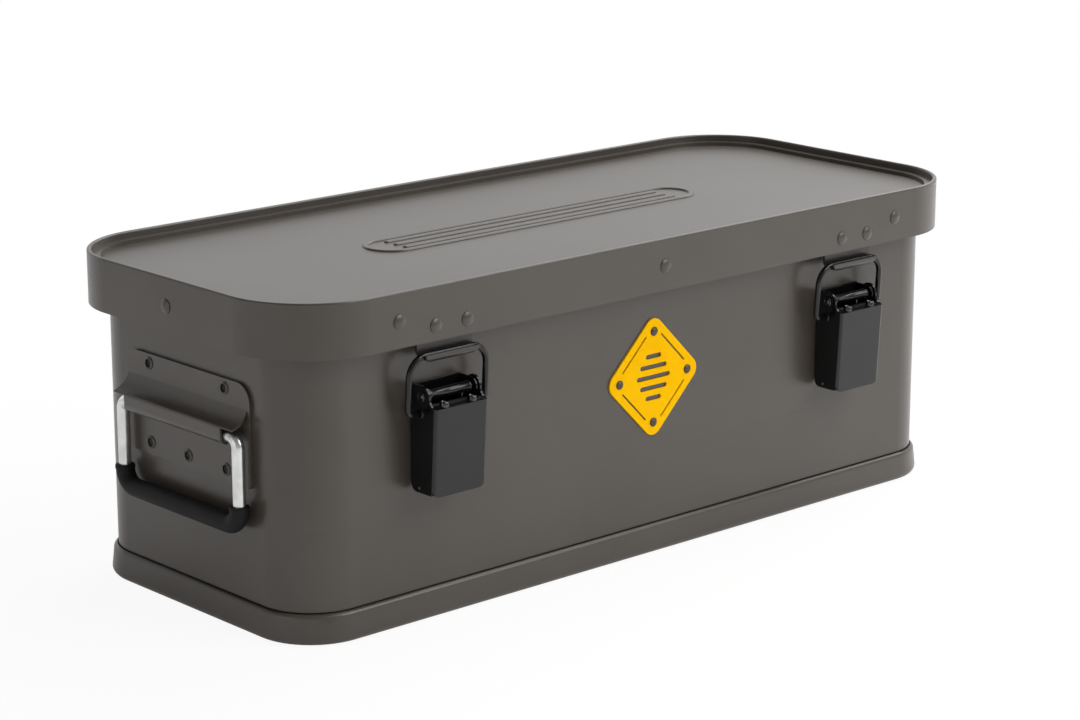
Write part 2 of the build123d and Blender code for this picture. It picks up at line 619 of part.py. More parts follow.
def catch(x: float, planes: list) -> Part:
    """Hook under the lid band: a riveted flange, an inward joggle and a J round the bar."""
    flange_y = -LID_Y + BAND_SHEET + CATCH_SHEET / 2
    neck_y = BAIL_BAR_Y + BAIL_WIRE_R + CATCH_NECK_PLAY + CATCH_SHEET / 2
    lip_y = BAIL_BAR_Y - BAIL_WIRE_R - CATCH_LIP_PLAY - CATCH_SHEET / 2
    floor_z = BAIL_BAR_Z - BAIL_WIRE_R - CATCH_FLOOR_PLAY - CATCH_SHEET / 2
    joggle_z = BAND_BOTTOM_Z + CATCH_JOGGLE_RISE
    hook_r = 0.48 * (neck_y - lip_y)
    with BuildPart() as hook:
        with BuildSketch(Plane.YZ.offset(x - CATCH_WIDTH / 2)):
            with BuildLine() as profile:
                FilletPolyline(
                    (flange_y, BAND_BOTTOM_Z + CATCH_FLANGE_RISE),
                    (flange_y, joggle_z),
                    (neck_y, joggle_z - (neck_y - flange_y)),
                    (neck_y, floor_z),
                    (lip_y, floor_z),
                    (lip_y, BAIL_BAR_Z + CATCH_LIP_RISE),
                    radius=[CATCH_BEND_R, CATCH_BEND_R, hook_r, hook_r],
                )
            trace(profile.line, CATCH_SHEET)
        extrude(amount=CATCH_WIDTH)
        with BuildSketch(front_plane(x, floor_z - CATCH_SHEET / 2)):
            Rectangle(2 * CATCH_WIDTH, CATCH_HOOK_R, align=(Align.CENTER, Align.MIN))
            with Locations((0, CATCH_HOOK_R)):
                Rectangle(CATCH_WIDTH - 2 * CATCH_HOOK_R, 2 * CATCH_HOOK_R, mode=Mode.SUBTRACT)
            with Locations(
                (CATCH_HOOK_R - CATCH_WIDTH / 2, CATCH_HOOK_R),
                (CATCH_WIDTH / 2 - CATCH_HOOK_R, CATCH_HOOK_R),
            ):
                Circle(CATCH_HOOK_R, mode=Mode.SUBTRACT)
        extrude(amount=LEVER_TOP_DEPTH, mode=Mode.SUBTRACT)
        drill(planes, 2 * (BAND_SHEET + CATCH_SHEET))
    return hook.part


for name, side in SIDES.items():
    latch_x = side * LATCH_X
    save(latch_base(latch_x, latch_planes[name]), f"latch_base_{name}")
    save(latch_axle(latch_x), f"latch_axle_{name}")
    save(latch_lever(latch_x), f"latch_lever_{name}")
    save(latch_bail(latch_x), f"latch_bail_{name}")
    save(
        rivets_at(latch_planes[name], LATCH_RIVET_HEAD_R, RIVET_HEAD_HEIGHT, LEVER_SHEET + SHEET),
        f"latch_rivets_{name}",
    )
    save(catch(latch_x, catch_planes[name]), f"catch_{name}")
    save(
        rivets_at(catch_planes[name], RIVET_HEAD_R, RIVET_HEAD_HEIGHT, BAND_SHEET + CATCH_SHEET),
        f"catch_rivets_{name}",
    )


def handle_plate(side: int, planes: list) -> Part:
    """End plate with a pressed hood that curls round the handle's top bar."""

    def at(depth: float, z: float) -> tuple:
        return (side * (BODY_X + depth), z)

    curl_in = HANDLE_WIRE_R + HANDLE_WIRE_PLAY
    curl_out = curl_in + HOOD_SHEET
    lip_out = GRIP_AXIS_DEPTH + curl_out
    lip_in = GRIP_AXIS_DEPTH + curl_in
    tip_z = GRIP_AXIS_Z + HOOD_TIP_RISE
    hood_z = HANDLE_TOP_Z - HOOD_DROP
    middle_out = ((HANDLE_SHEET + lip_out) / 2 - HOOD_SAG, (hood_z + tip_z) / 2 - HOOD_SAG)
    diagonal = 0.5**0.5
    with BuildPart() as plate:
        with BuildSketch(end_plane(side, 0, (HANDLE_BOTTOM_Z + HANDLE_TOP_Z) / 2)) as face:
            Rectangle(2 * HANDLE_HALF, HANDLE_TOP_Z - HANDLE_BOTTOM_Z)
            fillet(face.vertices().group_by(Axis.Y)[-1], HANDLE_CORNER_R)
            fillet(face.vertices().group_by(Axis.Y)[0], HANDLE_FOOT_R)
        extrude(amount=HANDLE_SHEET)
        with BuildSketch(Plane.XZ.offset(HOOD_INSET - HANDLE_HALF)):
            with BuildLine():
                ThreePointArc(at(HANDLE_SHEET, hood_z), at(*middle_out), at(lip_out, tip_z))
                Line(at(lip_out, tip_z), at(lip_out, GRIP_AXIS_Z))
                ThreePointArc(
                    at(lip_out, GRIP_AXIS_Z),
                    at(GRIP_AXIS_DEPTH + curl_out * diagonal, GRIP_AXIS_Z - curl_out * diagonal),
                    at(GRIP_AXIS_DEPTH, GRIP_AXIS_Z - curl_out),
                )
                Line(at(GRIP_AXIS_DEPTH, GRIP_AXIS_Z - curl_out), at(GRIP_AXIS_DEPTH, GRIP_AXIS_Z - curl_in))
                ThreePointArc(
                    at(GRIP_AXIS_DEPTH, GRIP_AXIS_Z - curl_in),
                    at(GRIP_AXIS_DEPTH + curl_in * diagonal, GRIP_AXIS_Z - curl_in * diagonal),
                    at(lip_in, GRIP_AXIS_Z),
                )
                Line(at(lip_in, GRIP_AXIS_Z), at(lip_in, tip_z - HOOD_SHEET / 2))
                ThreePointArc(
                    at(lip_in, tip_z - HOOD_SHEET / 2),
                    at(middle_out[0] - HOOD_SHEET * diagonal, middle_out[1] - HOOD_SHEET * diagonal),
                    at(HANDLE_SHEET, hood_z - 1.2 * HOOD_SHEET),
                )
                Line(at(HANDLE_SHEET, hood_z - 1.2 * HOOD_SHEET), at(HANDLE_SHEET, hood_z))
            make_face()
        extrude(amount=2 * (HANDLE_HALF - HOOD_INSET))
        tip = (side * (BODY_X + lip_out), 0, tip_z)
        fillet(plate.edges().filter_by(Axis.Y).sort_by_distance(tip)[0], HOOD_TIP_R)
        with BuildSketch(end_plane(side, 0, tip_z - HOOD_SHEET / 2, HANDLE_SHEET)):
            Rectangle(4 * HANDLE_HALF, 4 * curl_out, align=(Align.CENTER, Align.MAX))
            Rectangle(2 * (HANDLE_HALF - HOOD_NOTCH), 8 * curl_out, mode=Mode.SUBTRACT)
        extrude(amount=4 * curl_out, mode=Mode.SUBTRACT)
        drill(planes, 2 * HANDLE_SHEET)
    return plate.part


def handle_loop(side: int) -> Plane:
    """Plane of a hanging handle, its origin at the middle of the top bar."""
    return Plane(
        origin=(side * (BODY_X + GRIP_AXIS_DEPTH), 0, GRIP_AXIS_Z), x_dir=(0, side, 0), z_dir=(side, 0, 0)
    )


def handle_bail(side: int) -> Part:
    """Round wire bent to a loop whose ends meet inside the hood."""
    with BuildPart() as bail:
        with BuildLine(handle_loop(side)) as route:
            FilletPolyline(
                (-HANDLE_WIRE_GAP / 2, 0),
                (-HANDLE_WIRE_HALF, 0),
                (-HANDLE_WIRE_HALF, -HANDLE_DROP),
                (HANDLE_WIRE_HALF, -HANDLE_DROP),
                (HANDLE_WIRE_HALF, 0),
                (HANDLE_WIRE_GAP / 2, 0),
                radius=[HANDLE_TOP_BEND_R, HANDLE_BEND_R, HANDLE_BEND_R, HANDLE_TOP_BEND_R],
            )
        with BuildSketch(Plane(route.line @ 0, z_dir=route.line % 0)):
            Circle(HANDLE_WIRE_R)
        sweep(path=route.line)
    return bail.part


def handle_grip(side: int) -> Part:
    """Rubber sleeve on the lower bar and round both lower corners."""
    with BuildPart() as grip:
        with BuildLine(handle_loop(side)) as route:
            FilletPolyline(
                (-HANDLE_WIRE_HALF, GRIP_RISE - HANDLE_DROP),
                (-HANDLE_WIRE_HALF, -HANDLE_DROP),
                (HANDLE_WIRE_HALF, -HANDLE_DROP),
                (HANDLE_WIRE_HALF, GRIP_RISE - HANDLE_DROP),
                radius=HANDLE_BEND_R,
            )
        with BuildSketch(Plane(route.line @ 0, z_dir=route.line % 0)):
            Circle(GRIP_R)
            Circle(HANDLE_WIRE_R + SEAM, mode=Mode.SUBTRACT)
        sweep(path=route.line)
    return grip.part


for name, side in SIDES.items():
    save(handle_plate(side, handle_planes[name]), f"handle_plate_{name}")
    save(handle_bail(side), f"handle_bail_{name}")
    save(handle_grip(side), f"handle_grip_{name}")
    save(
        rivets_at(
            handle_planes[name], HANDLE_RIVET_R, HANDLE_RIVET_HEAD, HANDLE_SHEET + SHEET, HANDLE_RIVET_SOCKET_R
        ),
        f"handle_rivets_{name}",
    )


def hinge_leaf_upper(x: float, planes: list) -> Part:
    """Flat leaf on the lid band with the middle knuckle below it."""
    with BuildPart() as leaf:
        with BuildSketch(Plane.XY.offset(HINGE_Z + HINGE_LEAF_LIFT)):
            with Locations((x, LID_Y)):
                Rectangle(HINGE_WIDTH, HINGE_SHEET, align=(Align.CENTER, Align.MIN))
        extrude(amount=HINGE_LEAF_RISE - HINGE_LEAF_LIFT)
        with BuildSketch(Plane.YZ.offset(x - KNUCKLE_WIDTH / 2)):
            with Locations((HINGE_Y, HINGE_Z)):
                Circle(KNUCKLE_R)
            with Locations((LID_Y, HINGE_Z)):
                Rectangle(HINGE_SHEET, HINGE_LEAF_LIFT, align=(Align.MIN, Align.MIN))
            with Locations((HINGE_Y, HINGE_Z)):
                Circle(HINGE_PIN_R + SEAM, mode=Mode.SUBTRACT)
        extrude(amount=KNUCKLE_WIDTH)
        drill(planes, 2 * HINGE_SHEET)
    return leaf.part


def hinge_leaf_lower(x: float, planes: list) -> Part:
    """Leaf on the body wall, turned out below the band to the two outer knuckles."""
    flange_z = HINGE_Z - KNUCKLE_R
    with BuildPart() as leaf:
        with BuildSketch(Plane.YZ.offset(x - HINGE_WIDTH / 2)):
            with Locations((BODY_Y, flange_z + HINGE_SHEET)):
                Rectangle(HINGE_SHEET, HINGE_LEAF_LENGTH, align=(Align.MIN, Align.MAX))
            with Locations((BODY_Y, flange_z)):
                Rectangle(HINGE_Y - BODY_Y, HINGE_SHEET, align=(Align.MIN, Align.MIN))
            with Locations((HINGE_Y, HINGE_Z)):
                Circle(KNUCKLE_R)
                Circle(HINGE_PIN_R + SEAM, mode=Mode.SUBTRACT)
        extrude(amount=HINGE_WIDTH)
        with Locations((x, LID_Y - 2 * KNUCKLE_GAP, flange_z)):
            Box(
                KNUCKLE_WIDTH + 2 * KNUCKLE_GAP,
                3 * KNUCKLE_R,
                6 * KNUCKLE_R,
                align=(Align.CENTER, Align.MIN, Align.CENTER),
                mode=Mode.SUBTRACT,
            )
        drill(planes, 2 * HINGE_SHEET)
    return leaf.part


def hinge_pin(x: float) -> Part:
    """Headed pin through the three knuckles."""
    with BuildPart() as pin:
        with Locations(Plane(origin=(x, HINGE_Y, HINGE_Z), z_dir=(1, 0, 0))):
            Cylinder(HINGE_PIN_R, HINGE_WIDTH)
        for end in (-1, 1):
            with Locations(Plane(origin=(x + end * HINGE_WIDTH / 2, HINGE_Y, HINGE_Z), z_dir=(end, 0, 0))):
                Cylinder(HINGE_PIN_HEAD_R, HINGE_PIN_HEAD, align=(Align.CENTER, Align.CENTER, Align.MIN))
    return pin.part


for name, side in SIDES.items():
    hinge_x = side * HINGE_X
    save(hinge_leaf_upper(hinge_x, upper_leaf_planes[name]), f"hinge_leaf_upper_{name}")
    save(hinge_leaf_lower(hinge_x, lower_leaf_planes[name]), f"hinge_leaf_lower_{name}")
    save(hinge_pin(hinge_x), f"hinge_pin_{name}")
    save(
        rivets_at(
            upper_leaf_planes[name], RIVET_HEAD_R, RIVET_HEAD_HEIGHT, HINGE_SHEET + PANEL_INSET + FRAME_SHEET
        ),
        f"hinge_rivets_upper_{name}",
    )
    save(
        rivets_at(lower_leaf_planes[name], RIVET_HEAD_R, RIVET_HEAD_HEIGHT, HINGE_SHEET + SHEET),
        f"hinge_rivets_lower_{name}",
    )
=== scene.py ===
"""Looks for a lined metal battery box with draw latches and drop handles."""

import json
import logging
import math
from dataclasses import dataclass, field
from enum import Enum

import bmesh
import bpy
from mathutils import Matrix, Vector, noise

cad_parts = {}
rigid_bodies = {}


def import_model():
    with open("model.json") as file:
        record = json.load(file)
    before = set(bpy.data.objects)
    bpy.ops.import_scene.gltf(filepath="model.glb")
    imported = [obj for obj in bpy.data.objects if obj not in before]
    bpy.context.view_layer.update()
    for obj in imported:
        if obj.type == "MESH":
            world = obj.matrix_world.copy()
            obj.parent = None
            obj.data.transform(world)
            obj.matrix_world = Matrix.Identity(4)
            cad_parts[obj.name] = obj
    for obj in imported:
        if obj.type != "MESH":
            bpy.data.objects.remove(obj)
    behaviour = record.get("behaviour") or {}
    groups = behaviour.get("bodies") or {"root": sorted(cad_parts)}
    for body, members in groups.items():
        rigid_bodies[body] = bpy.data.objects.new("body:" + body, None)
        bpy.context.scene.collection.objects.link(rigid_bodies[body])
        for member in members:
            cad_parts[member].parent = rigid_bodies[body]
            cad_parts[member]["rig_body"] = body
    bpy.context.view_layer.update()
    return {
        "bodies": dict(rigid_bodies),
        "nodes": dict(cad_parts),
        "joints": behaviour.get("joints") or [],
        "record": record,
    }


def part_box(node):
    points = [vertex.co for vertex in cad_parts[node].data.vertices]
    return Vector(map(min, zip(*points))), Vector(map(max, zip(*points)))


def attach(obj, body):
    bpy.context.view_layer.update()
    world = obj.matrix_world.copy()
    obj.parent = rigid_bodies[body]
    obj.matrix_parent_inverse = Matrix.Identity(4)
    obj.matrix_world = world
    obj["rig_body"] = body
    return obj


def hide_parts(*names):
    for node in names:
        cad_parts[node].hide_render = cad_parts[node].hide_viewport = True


LOG = logging.getLogger("battery_box")
# One millimetre in metres, and the distance under which two points are one.
MM = 0.001
MERGE = 0.000001
# Two triangles bent less than this, in degrees, are one flat quad.
FLAT_DEG = 0.5
# Faces round a turned part.
TURN_STEPS = 28
# Edges bent more than this stay sharp, in degrees, on pressed, turned and soft pieces.
PRESSED_SHARP = 30.0
TURNED_SHARP = 50.0
SOFT_SHARP = 60.0
# How rough each finish's noise is, and where its two tones stand on the ramp.
NOISE_ROUGHNESS = 0.55
TONE_STOPS = (0.35, 0.65)
WHITE = "#FFFFFF"
Colour = tuple[float, float, float, float]
Outline = list[tuple[float, float]]


class Side(Enum):
    """The two mirrored ends of the box, with the sign of their X."""

    LEFT = -1
    RIGHT = 1

    @property
    def label(self) -> str:
        """The word used in node names."""
        return self.name.lower()


class Head(Enum):
    """Kinds of rivet head."""

    DOMED = "domed"
    HOLLOW = "hollow"


# ---------------------------------------------------------------- shader helpers


def linear(hex_colour: str) -> Colour:
    """Turn an sRGB hex colour to linear RGBA.

    Args:
        hex_colour: Six hex digits after a hash.

    Returns:
        Linear red, green and blue, with an alpha of 1.
    """
    digits = hex_colour.lstrip("#")
    parts = [int(digits[i : i + 2], 16) / 255 for i in (0, 2, 4)]
    toned = [c / 12.92 if c <= 0.04045 else ((c + 0.055) / 1.055) ** 2.4 for c in parts]
    return (toned[0], toned[1], toned[2], 1.0)


def add_node(
    tree: bpy.types.NodeTree, kind: str, settings: dict | None = None, links: dict | None = None
) -> bpy.types.Node:
    """Add one shader node with its settings and its incoming links.

    Args:
        tree: The node tree to add to.
        kind: The node's type name.
        settings: Attribute names, or socket names or numbers, to values.
        links: Socket names or numbers to the output sockets that feed them.

    Returns:
        The new node.
    """
    made = tree.nodes.new(kind)
    for key, value in (settings or {}).items():
        if isinstance(key, str) and hasattr(made, key):
            setattr(made, key, value)
        else:
            made.inputs[key].default_value = value
    for key, source in (links or {}).items():
        tree.links.new(source, made.inputs[key])
    return made


def combine(
    tree: bpy.types.NodeTree, operation: str, first: bpy.types.NodeSocket, second: bpy.types.NodeSocket
) -> bpy.types.NodeSocket:
    """Join two values by one step of arithmetic.

    Args:
        tree: The node tree to add to.
        operation: The step's name.
        first: The first value.
        second: The second value.

    Returns:
        The result.
    """
    step = add_node(tree, "ShaderNodeMath", {"operation": operation}, {0: first, 1: second})
    return step.outputs["Value"]


def remap(
    tree: bpy.types.NodeTree,
    value: bpy.types.NodeSocket,
    source: tuple[float, float],
    target: tuple[float, float],
) -> bpy.types.NodeSocket:
    """Map a value from one span to another, held at both ends.

    Args:
        tree: The node tree to add to.
        value: The value.
        source: The span that it comes from.
        target: The span that it goes to.

    Returns:
        The mapped value.
    """
    settings = {"From Min": source[0], "From Max": source[1], "To Min": target[0], "To Max": target[1]}
    return add_node(tree, "ShaderNodeMapRange", settings, {"Value": value}).outputs["Result"]


class Recipe:
    """A material being put together: its tree, shader and coordinates."""

    def __init__(self, name: str) -> None:
        """Start an empty node material.

        Args:
            name: The finish's plain name.
        """
        self.material = bpy.data.materials.new(name)
        self.material.use_nodes = True
        self.tree = self.material.node_tree
        self.tree.nodes.clear()
        self.shader = add_node(self.tree, "ShaderNodeBsdfPrincipled")
        self.out = add_node(
            self.tree, "ShaderNodeOutputMaterial", links={"Surface": self.shader.outputs["BSDF"]}
        )
        self.place = add_node(self.tree, "ShaderNodeTexCoord").outputs["Object"]

    def noise(self, size_mm: float, detail: float = 3.0) -> bpy.types.NodeSocket:
        """Noise whose patches are about as wide as given.

        Args:
            size_mm: Width of one patch.
            detail: Levels of finer noise.

        Returns:
            The grey output, from 0 to 1.
        """
        settings = {"Scale": 1 / (size_mm * MM), "Detail": detail, "Roughness": NOISE_ROUGHNESS}
        return add_node(self.tree, "ShaderNodeTexNoise", settings, {"Vector": self.place}).outputs["Fac"]

    def drift(self, size_mm: float, low: str, high: str, detail: float = 3.0) -> None:
        """Let the colour drift softly between two tones.

        Args:
            size_mm: Width of one patch.
            low: Hex colour of the darker patches.
            high: Hex colour of the lighter patches.
            detail: Levels of finer noise.
        """
        ramp = add_node(self.tree, "ShaderNodeValToRGB", links={"Fac": self.noise(size_mm, detail)})
        for stop, place, colour in zip(ramp.color_ramp.elements, TONE_STOPS, (low, high)):
            stop.position = place
            stop.color = linear(colour)
        self.tree.links.new(ramp.outputs["Color"], self.shader.inputs["Base Color"])

    def relief(self, size_mm: float, height_mm: float, strength: float) -> None:
        """Raise a fine grain.

        Args:
            size_mm: Width of one grain.
            height_mm: Height of one grain.
            strength: How much of the relief shows.
        """
        settings = {"Strength": strength, "Distance": height_mm * MM}
        bump = add_node(self.tree, "ShaderNodeBump", settings, {"Height": self.noise(size_mm)})
        self.tree.links.new(bump.outputs["Normal"], self.shader.inputs["Normal"])

    def set(self, **sockets: float | Colour) -> None:
        """Set the shader's own constants, with spaces in socket names written as _."""
        for name, value in sockets.items():
            self.shader.inputs[name.replace("_", " ")].default_value = value


# ---------------------------------------------------------------- finishes


@dataclass(frozen=True)
class PowderCoat:
    """Polyester powder, sprayed dry and baked.

    To the eye: a warm dark grey, satin, with a fine orange-peel grain that spreads each highlight.
    """

    name: str = "powder_coated_aluminium"
    low: str = "#453F39"
    high: str = "#49433D"
    roughness: float = 0.31
    grain_mm: float = 1.1
    grain_height_mm: float = 0.04
    grain_strength: float = 0.3
    patch_mm: float = 70.0
    patch_detail: float = 4.0
    ior: float = 1.55

    def make(self) -> bpy.types.Material:
        """Build the material."""
        recipe = Recipe(self.name)
        recipe.drift(self.patch_mm, self.low, self.high, self.patch_detail)
        recipe.relief(self.grain_mm, self.grain_height_mm, self.grain_strength)
        recipe.set(Roughness=self.roughness, IOR=self.ior)
        return recipe.material


@dataclass(frozen=True)
class StovedEnamel:
    """Black enamel, dipped and stoved on pressed steel.

    To the eye: near black with sharp thin highlights along every folded edge.
    """

    name: str = "stoved_black_enamel"
    low: str = "#0B0B0C"
    high: str = "#101011"
    roughness: float = 0.18
    grain_mm: float = 3.0
    grain_height_mm: float = 0.02
    grain_strength: float = 0.25
    patch_mm: float = 18.0
    ior: float = 1.46

    def make(self) -> bpy.types.Material:
        """Build the material."""
        recipe = Recipe(self.name)
        recipe.drift(self.patch_mm, self.low, self.high)
        recipe.relief(self.grain_mm, self.grain_height_mm, self.grain_strength)
        recipe.set(Roughness=self.roughness, IOR=self.ior)
        return recipe.material


@dataclass(frozen=True)
class WorkedMetal:
    """Bare drawn or rolled metal.

    To the eye: small changes of tone and shine left by the die or the rolls.
    """

    name: str
    low: str
    high: str
    roughness: float
    patch_mm: float = 9.0
    patch_detail: float = 4.0
    grain_mm: float = 0.8
    grain_height_mm: float = 0.015
    grain_strength: float = 0.3

    def make(self) -> bpy.types.Material:
        """Build the material."""
        recipe = Recipe(self.name)
        recipe.drift(self.patch_mm, self.low, self.high, self.patch_detail)
        recipe.relief(self.grain_mm, self.grain_height_mm, self.grain_strength)
        recipe.set(Metallic=1.0, Roughness=self.roughness)
        return recipe.material


@dataclass(frozen=True)
class Skin:
    """A moulded, painted, pressed or needled non-metal surface with its own grain."""

    name: str
    low: str
    high: str
    roughness: float
    grain_mm: float
    grain_height_mm: float
    grain_strength: float = 0.5
    patch_mm: float = 12.0
    ior: float = 1.5
    patch_detail: float = 5.0

    def make(self) -> bpy.types.Material:
        """Build the material."""
        recipe = Recipe(self.name)
        recipe.drift(self.patch_mm, self.low, self.high, self.patch_detail)
        recipe.relief(self.grain_mm, self.grain_height_mm, self.grain_strength)
        recipe.set(Roughness=self.roughness, IOR=self.ior)
        return recipe.material


class Finishes:
    """Every finish on the box, made once."""

    def __init__(self) -> None:
        """Build all the materials."""
        self.powder = PowderCoat().make()
        # The same powder on the pressed catches, a shade darker as painted shade: this darker copy stands
        # for the shadow that the band casts on the catches.
        self.umber = PowderCoat("powder_coated_steel", "#302B27", "#36312C").make()
        self.enamel = StovedEnamel().make()
        # Zinc plate on drawn wire: bright and cool, with soft long highlights.
        self.zinc = WorkedMetal("zinc_plated_wire", "#D2D3D2", "#E3E4E2", 0.27).make()
        # Mill-finish aluminium sheet: pale and even.
        self.mill = WorkedMetal("mill_finish_aluminium", "#939495", "#A2A3A4", 0.52).make()
        # Burnished steel: polished pin ends and ring studs that catch the lamps.
        self.burnished = WorkedMetal("burnished_steel", "#4A4A4C", "#5E5E60", 0.22, 2.0).make()
        # Blackened steel: dark, dull fasteners.
        self.black_steel = WorkedMetal("blackened_steel", "#242323", "#32302F", 0.45).make()
        # Bronzed steel: warm dark grey rivets, nearly as matt as the wall round them.
        self.bronzed = WorkedMetal("bronzed_steel", "#57514A", "#655E56", 0.5, 3.0).make()
        # Moulded rubber: dull black sleeve with a fine mould grain.
        self.rubber = Skin("moulded_rubber", "#0C0C0C", "#121212", 0.65, 0.8, 0.05, ior=1.35).make()
        # Matt black for the groove between pan and wall and for the bead that fills it, so the joint shows
        # as a dark line.
        self.sealant = Skin("joint_sealant", "#060606", "#0B0B0B", 0.8, 0.8, 0.05, ior=1.3).make()
        # Extruded silicone: soft, slightly shiny black strip.
        self.silicone = Skin("extruded_silicone", "#1B1B1C", "#232324", 0.5, 1.2, 0.04).make()
        # Orange enamel on the sign plate: even, with a soft sheen.
        self.sign = Skin("orange_enamel", "#FDBE00", "#FFC402", 0.7, 1.0, 0.03, 0.3, 30.0, 1.12).make()
        # Pressed mineral board: chalky off-white with a fine fibre grain.
        self.board = Skin("pressed_mineral_board", "#C8C5BC", "#D0CDC4", 0.9, 1.6, 0.25, 0.8).make()
        # Needled fibre blanket: soft off-white felt, coarse enough to show its fibres.
        self.blanket = Skin("needled_fibre_blanket", "#D0CDC4", "#D9D6CD", 0.95, 2.2, 0.6, 0.9).make()
        # Spun aramid thread: dull straw yellow with a slight twist.
        self.thread = Skin("spun_aramid_thread", "#A58F55", "#B9A468", 0.8, 0.6, 0.06).make()


# ---------------------------------------------------------------- mesh helpers


def finish_piece(
    name: str,
    made: bmesh.types.BMesh,
    materials: list[bpy.types.Material],
    body: str,
    sharp_deg: float = TURNED_SHARP,
) -> bpy.types.Object:
    """Turn a bmesh to a shown piece that rides on a body.

    Args:
        name: The piece's name.
        made: The mesh; it is freed.
        materials: Its finishes, by material index.
        body: The body that it moves with.
        sharp_deg: Edges bent more than this stay sharp.

    Returns:
        The new object.
    """
    mesh = bpy.data.meshes.new(name)
    for face in made.faces:
        face.smooth = True
    made.to_mesh(mesh)
    made.free()
    mesh.set_sharp_from_angle(angle=math.radians(sharp_deg))
    for material in materials:
        mesh.materials.append(material)
    piece = bpy.data.objects.new(name, mesh)
    bpy.context.scene.collection.objects.link(piece)
    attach(piece, body)
    LOG.info("made %s with %d faces", name, len(mesh.polygons))
    return piece


def turned(made: bmesh.types.BMesh, profile: Outline, place: Matrix, steps: int = TURN_STEPS) -> None:
    """Spin a half profile about the local Z of a place.

    Args:
        made: The mesh to add to.
        profile: Radius and height pairs in millimetres, from pole to pole.
        place: Where local Z and the origin lie, in metres.
        steps: Faces round the turn.
    """
    known = set(made.verts)
    verts = [made.verts.new(place @ Vector((r * MM, 0, h * MM))) for r, h in profile]
    edges = [made.edges.new(pair) for pair in zip(verts, verts[1:])]
    axis = (place.to_3x3() @ Vector((0, 0, 1))).normalized()
    bmesh.ops.spin(
        made,
        geom=verts + edges,
        cent=place.translation,
        axis=axis,
        angle=math.tau,
        steps=steps,
        use_merge=True,
    )
    new = [v for v in made.verts if v not in known]
    bmesh.ops.remove_doubles(made, verts=new, dist=MERGE)
    faces = [f for f in made.faces if f.verts[0] not in known]
    bmesh.ops.recalc_face_normals(made, faces=faces)


def facing(point: Vector, outward: Vector) -> Matrix:
    """A place whose local Z looks outward.

    Args:
        point: Its origin.
        outward: The way that Z looks.

    Returns:
        The place.
    """
    return Matrix.Translation(point) @ outward.to_track_quat("Z", "Y").to_matrix().to_4x4()


def arc(centre: tuple[float, float], radius: float, start: float, end: float, steps: int = 5) -> Outline:
    """Points along an arc of a profile.

    Args:
        centre: Its centre.
        radius: Its radius.
        start: First angle in degrees.
        end: Last angle in degrees.
        steps: Stretches between the points.

    Returns:
        The points.
    """
    turns = [math.radians(start + (end - start) * i / steps) for i in range(steps + 1)]
    return [(centre[0] + radius * math.cos(a), centre[1] + radius * math.sin(a)) for a in turns]


def merged_copy(node: bpy.types.Object) -> bmesh.types.BMesh:
    """Copy a CAD node's loose triangles as one closed mesh, with flat pairs joined to quads.

    Args:
        node: The CAD node.

    Returns:
        The copy.
    """
    made = bmesh.new()
    made.from_mesh(node.data)
    bmesh.ops.remove_doubles(made, verts=made.verts, dist=MERGE)
    bmesh.ops.join_triangles(
        made, faces=made.faces, angle_face_threshold=math.radians(FLAT_DEG), angle_shape_threshold=math.pi
    )
    return made


@dataclass(frozen=True)
class Rounding:
    """How a part's sharp edges are rounded."""

    width_mm: float
    segments: int = 2
    sharp_deg: float = 35.0

    def picks(self, edge: bmesh.types.BMEdge) -> bool:
        """Whether an edge is sharp."""
        return edge.is_manifold and edge.calc_face_angle(0) > math.radians(self.sharp_deg)

    def apply(self, made: bmesh.types.BMesh) -> None:
        """Bevel the picked edges.

        Args:
            made: The mesh.
        """
        bmesh.ops.bevel(
            made,
            geom=[e for e in made.edges if self.picks(e)],
            offset=self.width_mm * MM,
            offset_type="OFFSET",
            segments=self.segments,
            profile=0.5,
            affect="EDGES",
            material=-1,
            clamp_overlap=True,
        )


@dataclass
class Workshop:
    """The frame and the finishes, with the ways that a CAD node is shown."""

    frame: dict
    finishes: Finishes

    def node(self, name: str) -> bpy.types.Object:
        """One CAD node."""
        return self.frame["nodes"][name]

    def body(self, name: str) -> str:
        """The body that a CAD node rides on."""
        return self.node(name)["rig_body"]

    def dress(self, material: bpy.types.Material, *names: str) -> None:
        """Show CAD nodes as they are, in one material.

        Args:
            material: The finish to give.
            names: The nodes' names.
        """
        for name in names:
            self.node(name).data.materials.clear()
            self.node(name).data.materials.append(material)
            LOG.info("dressed %s in %s", name, material.name)

    def press(
        self, node: str, name: str, material: bpy.types.Material, slot: str, rounding: Rounding
    ) -> None:
        """Show a CAD node as a copy whose sharp edges are rounded like pressed sheet.

        Args:
            node: The CAD node.
            name: The new piece's name.
            material: Its finish.
            slot: Its material slot.
            rounding: How its edges are rounded.
        """
        made = merged_copy(self.node(node))
        rounding.apply(made)
        self.stand_in(node, name, material, slot, made)

    def stand_in(
        self, node: str, name: str, material: bpy.types.Material, slot: str, made: bmesh.types.BMesh
    ) -> None:
        """Show a reworked copy in place of its CAD node, shaded evenly across its small faces.

        Args:
            node: The CAD node.
            name: The new piece's name.
            material: Its finish.
            slot: Its material slot; not used.
            made: The reworked copy.
        """
        piece = finish_piece(name, made, [material], self.body(node), PRESSED_SHARP)
        even = piece.modifiers.new("even_shade", "WEIGHTED_NORMAL")
        even.keep_sharp = True
        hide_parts(node)


# ---------------------------------------------------------------- fasteners


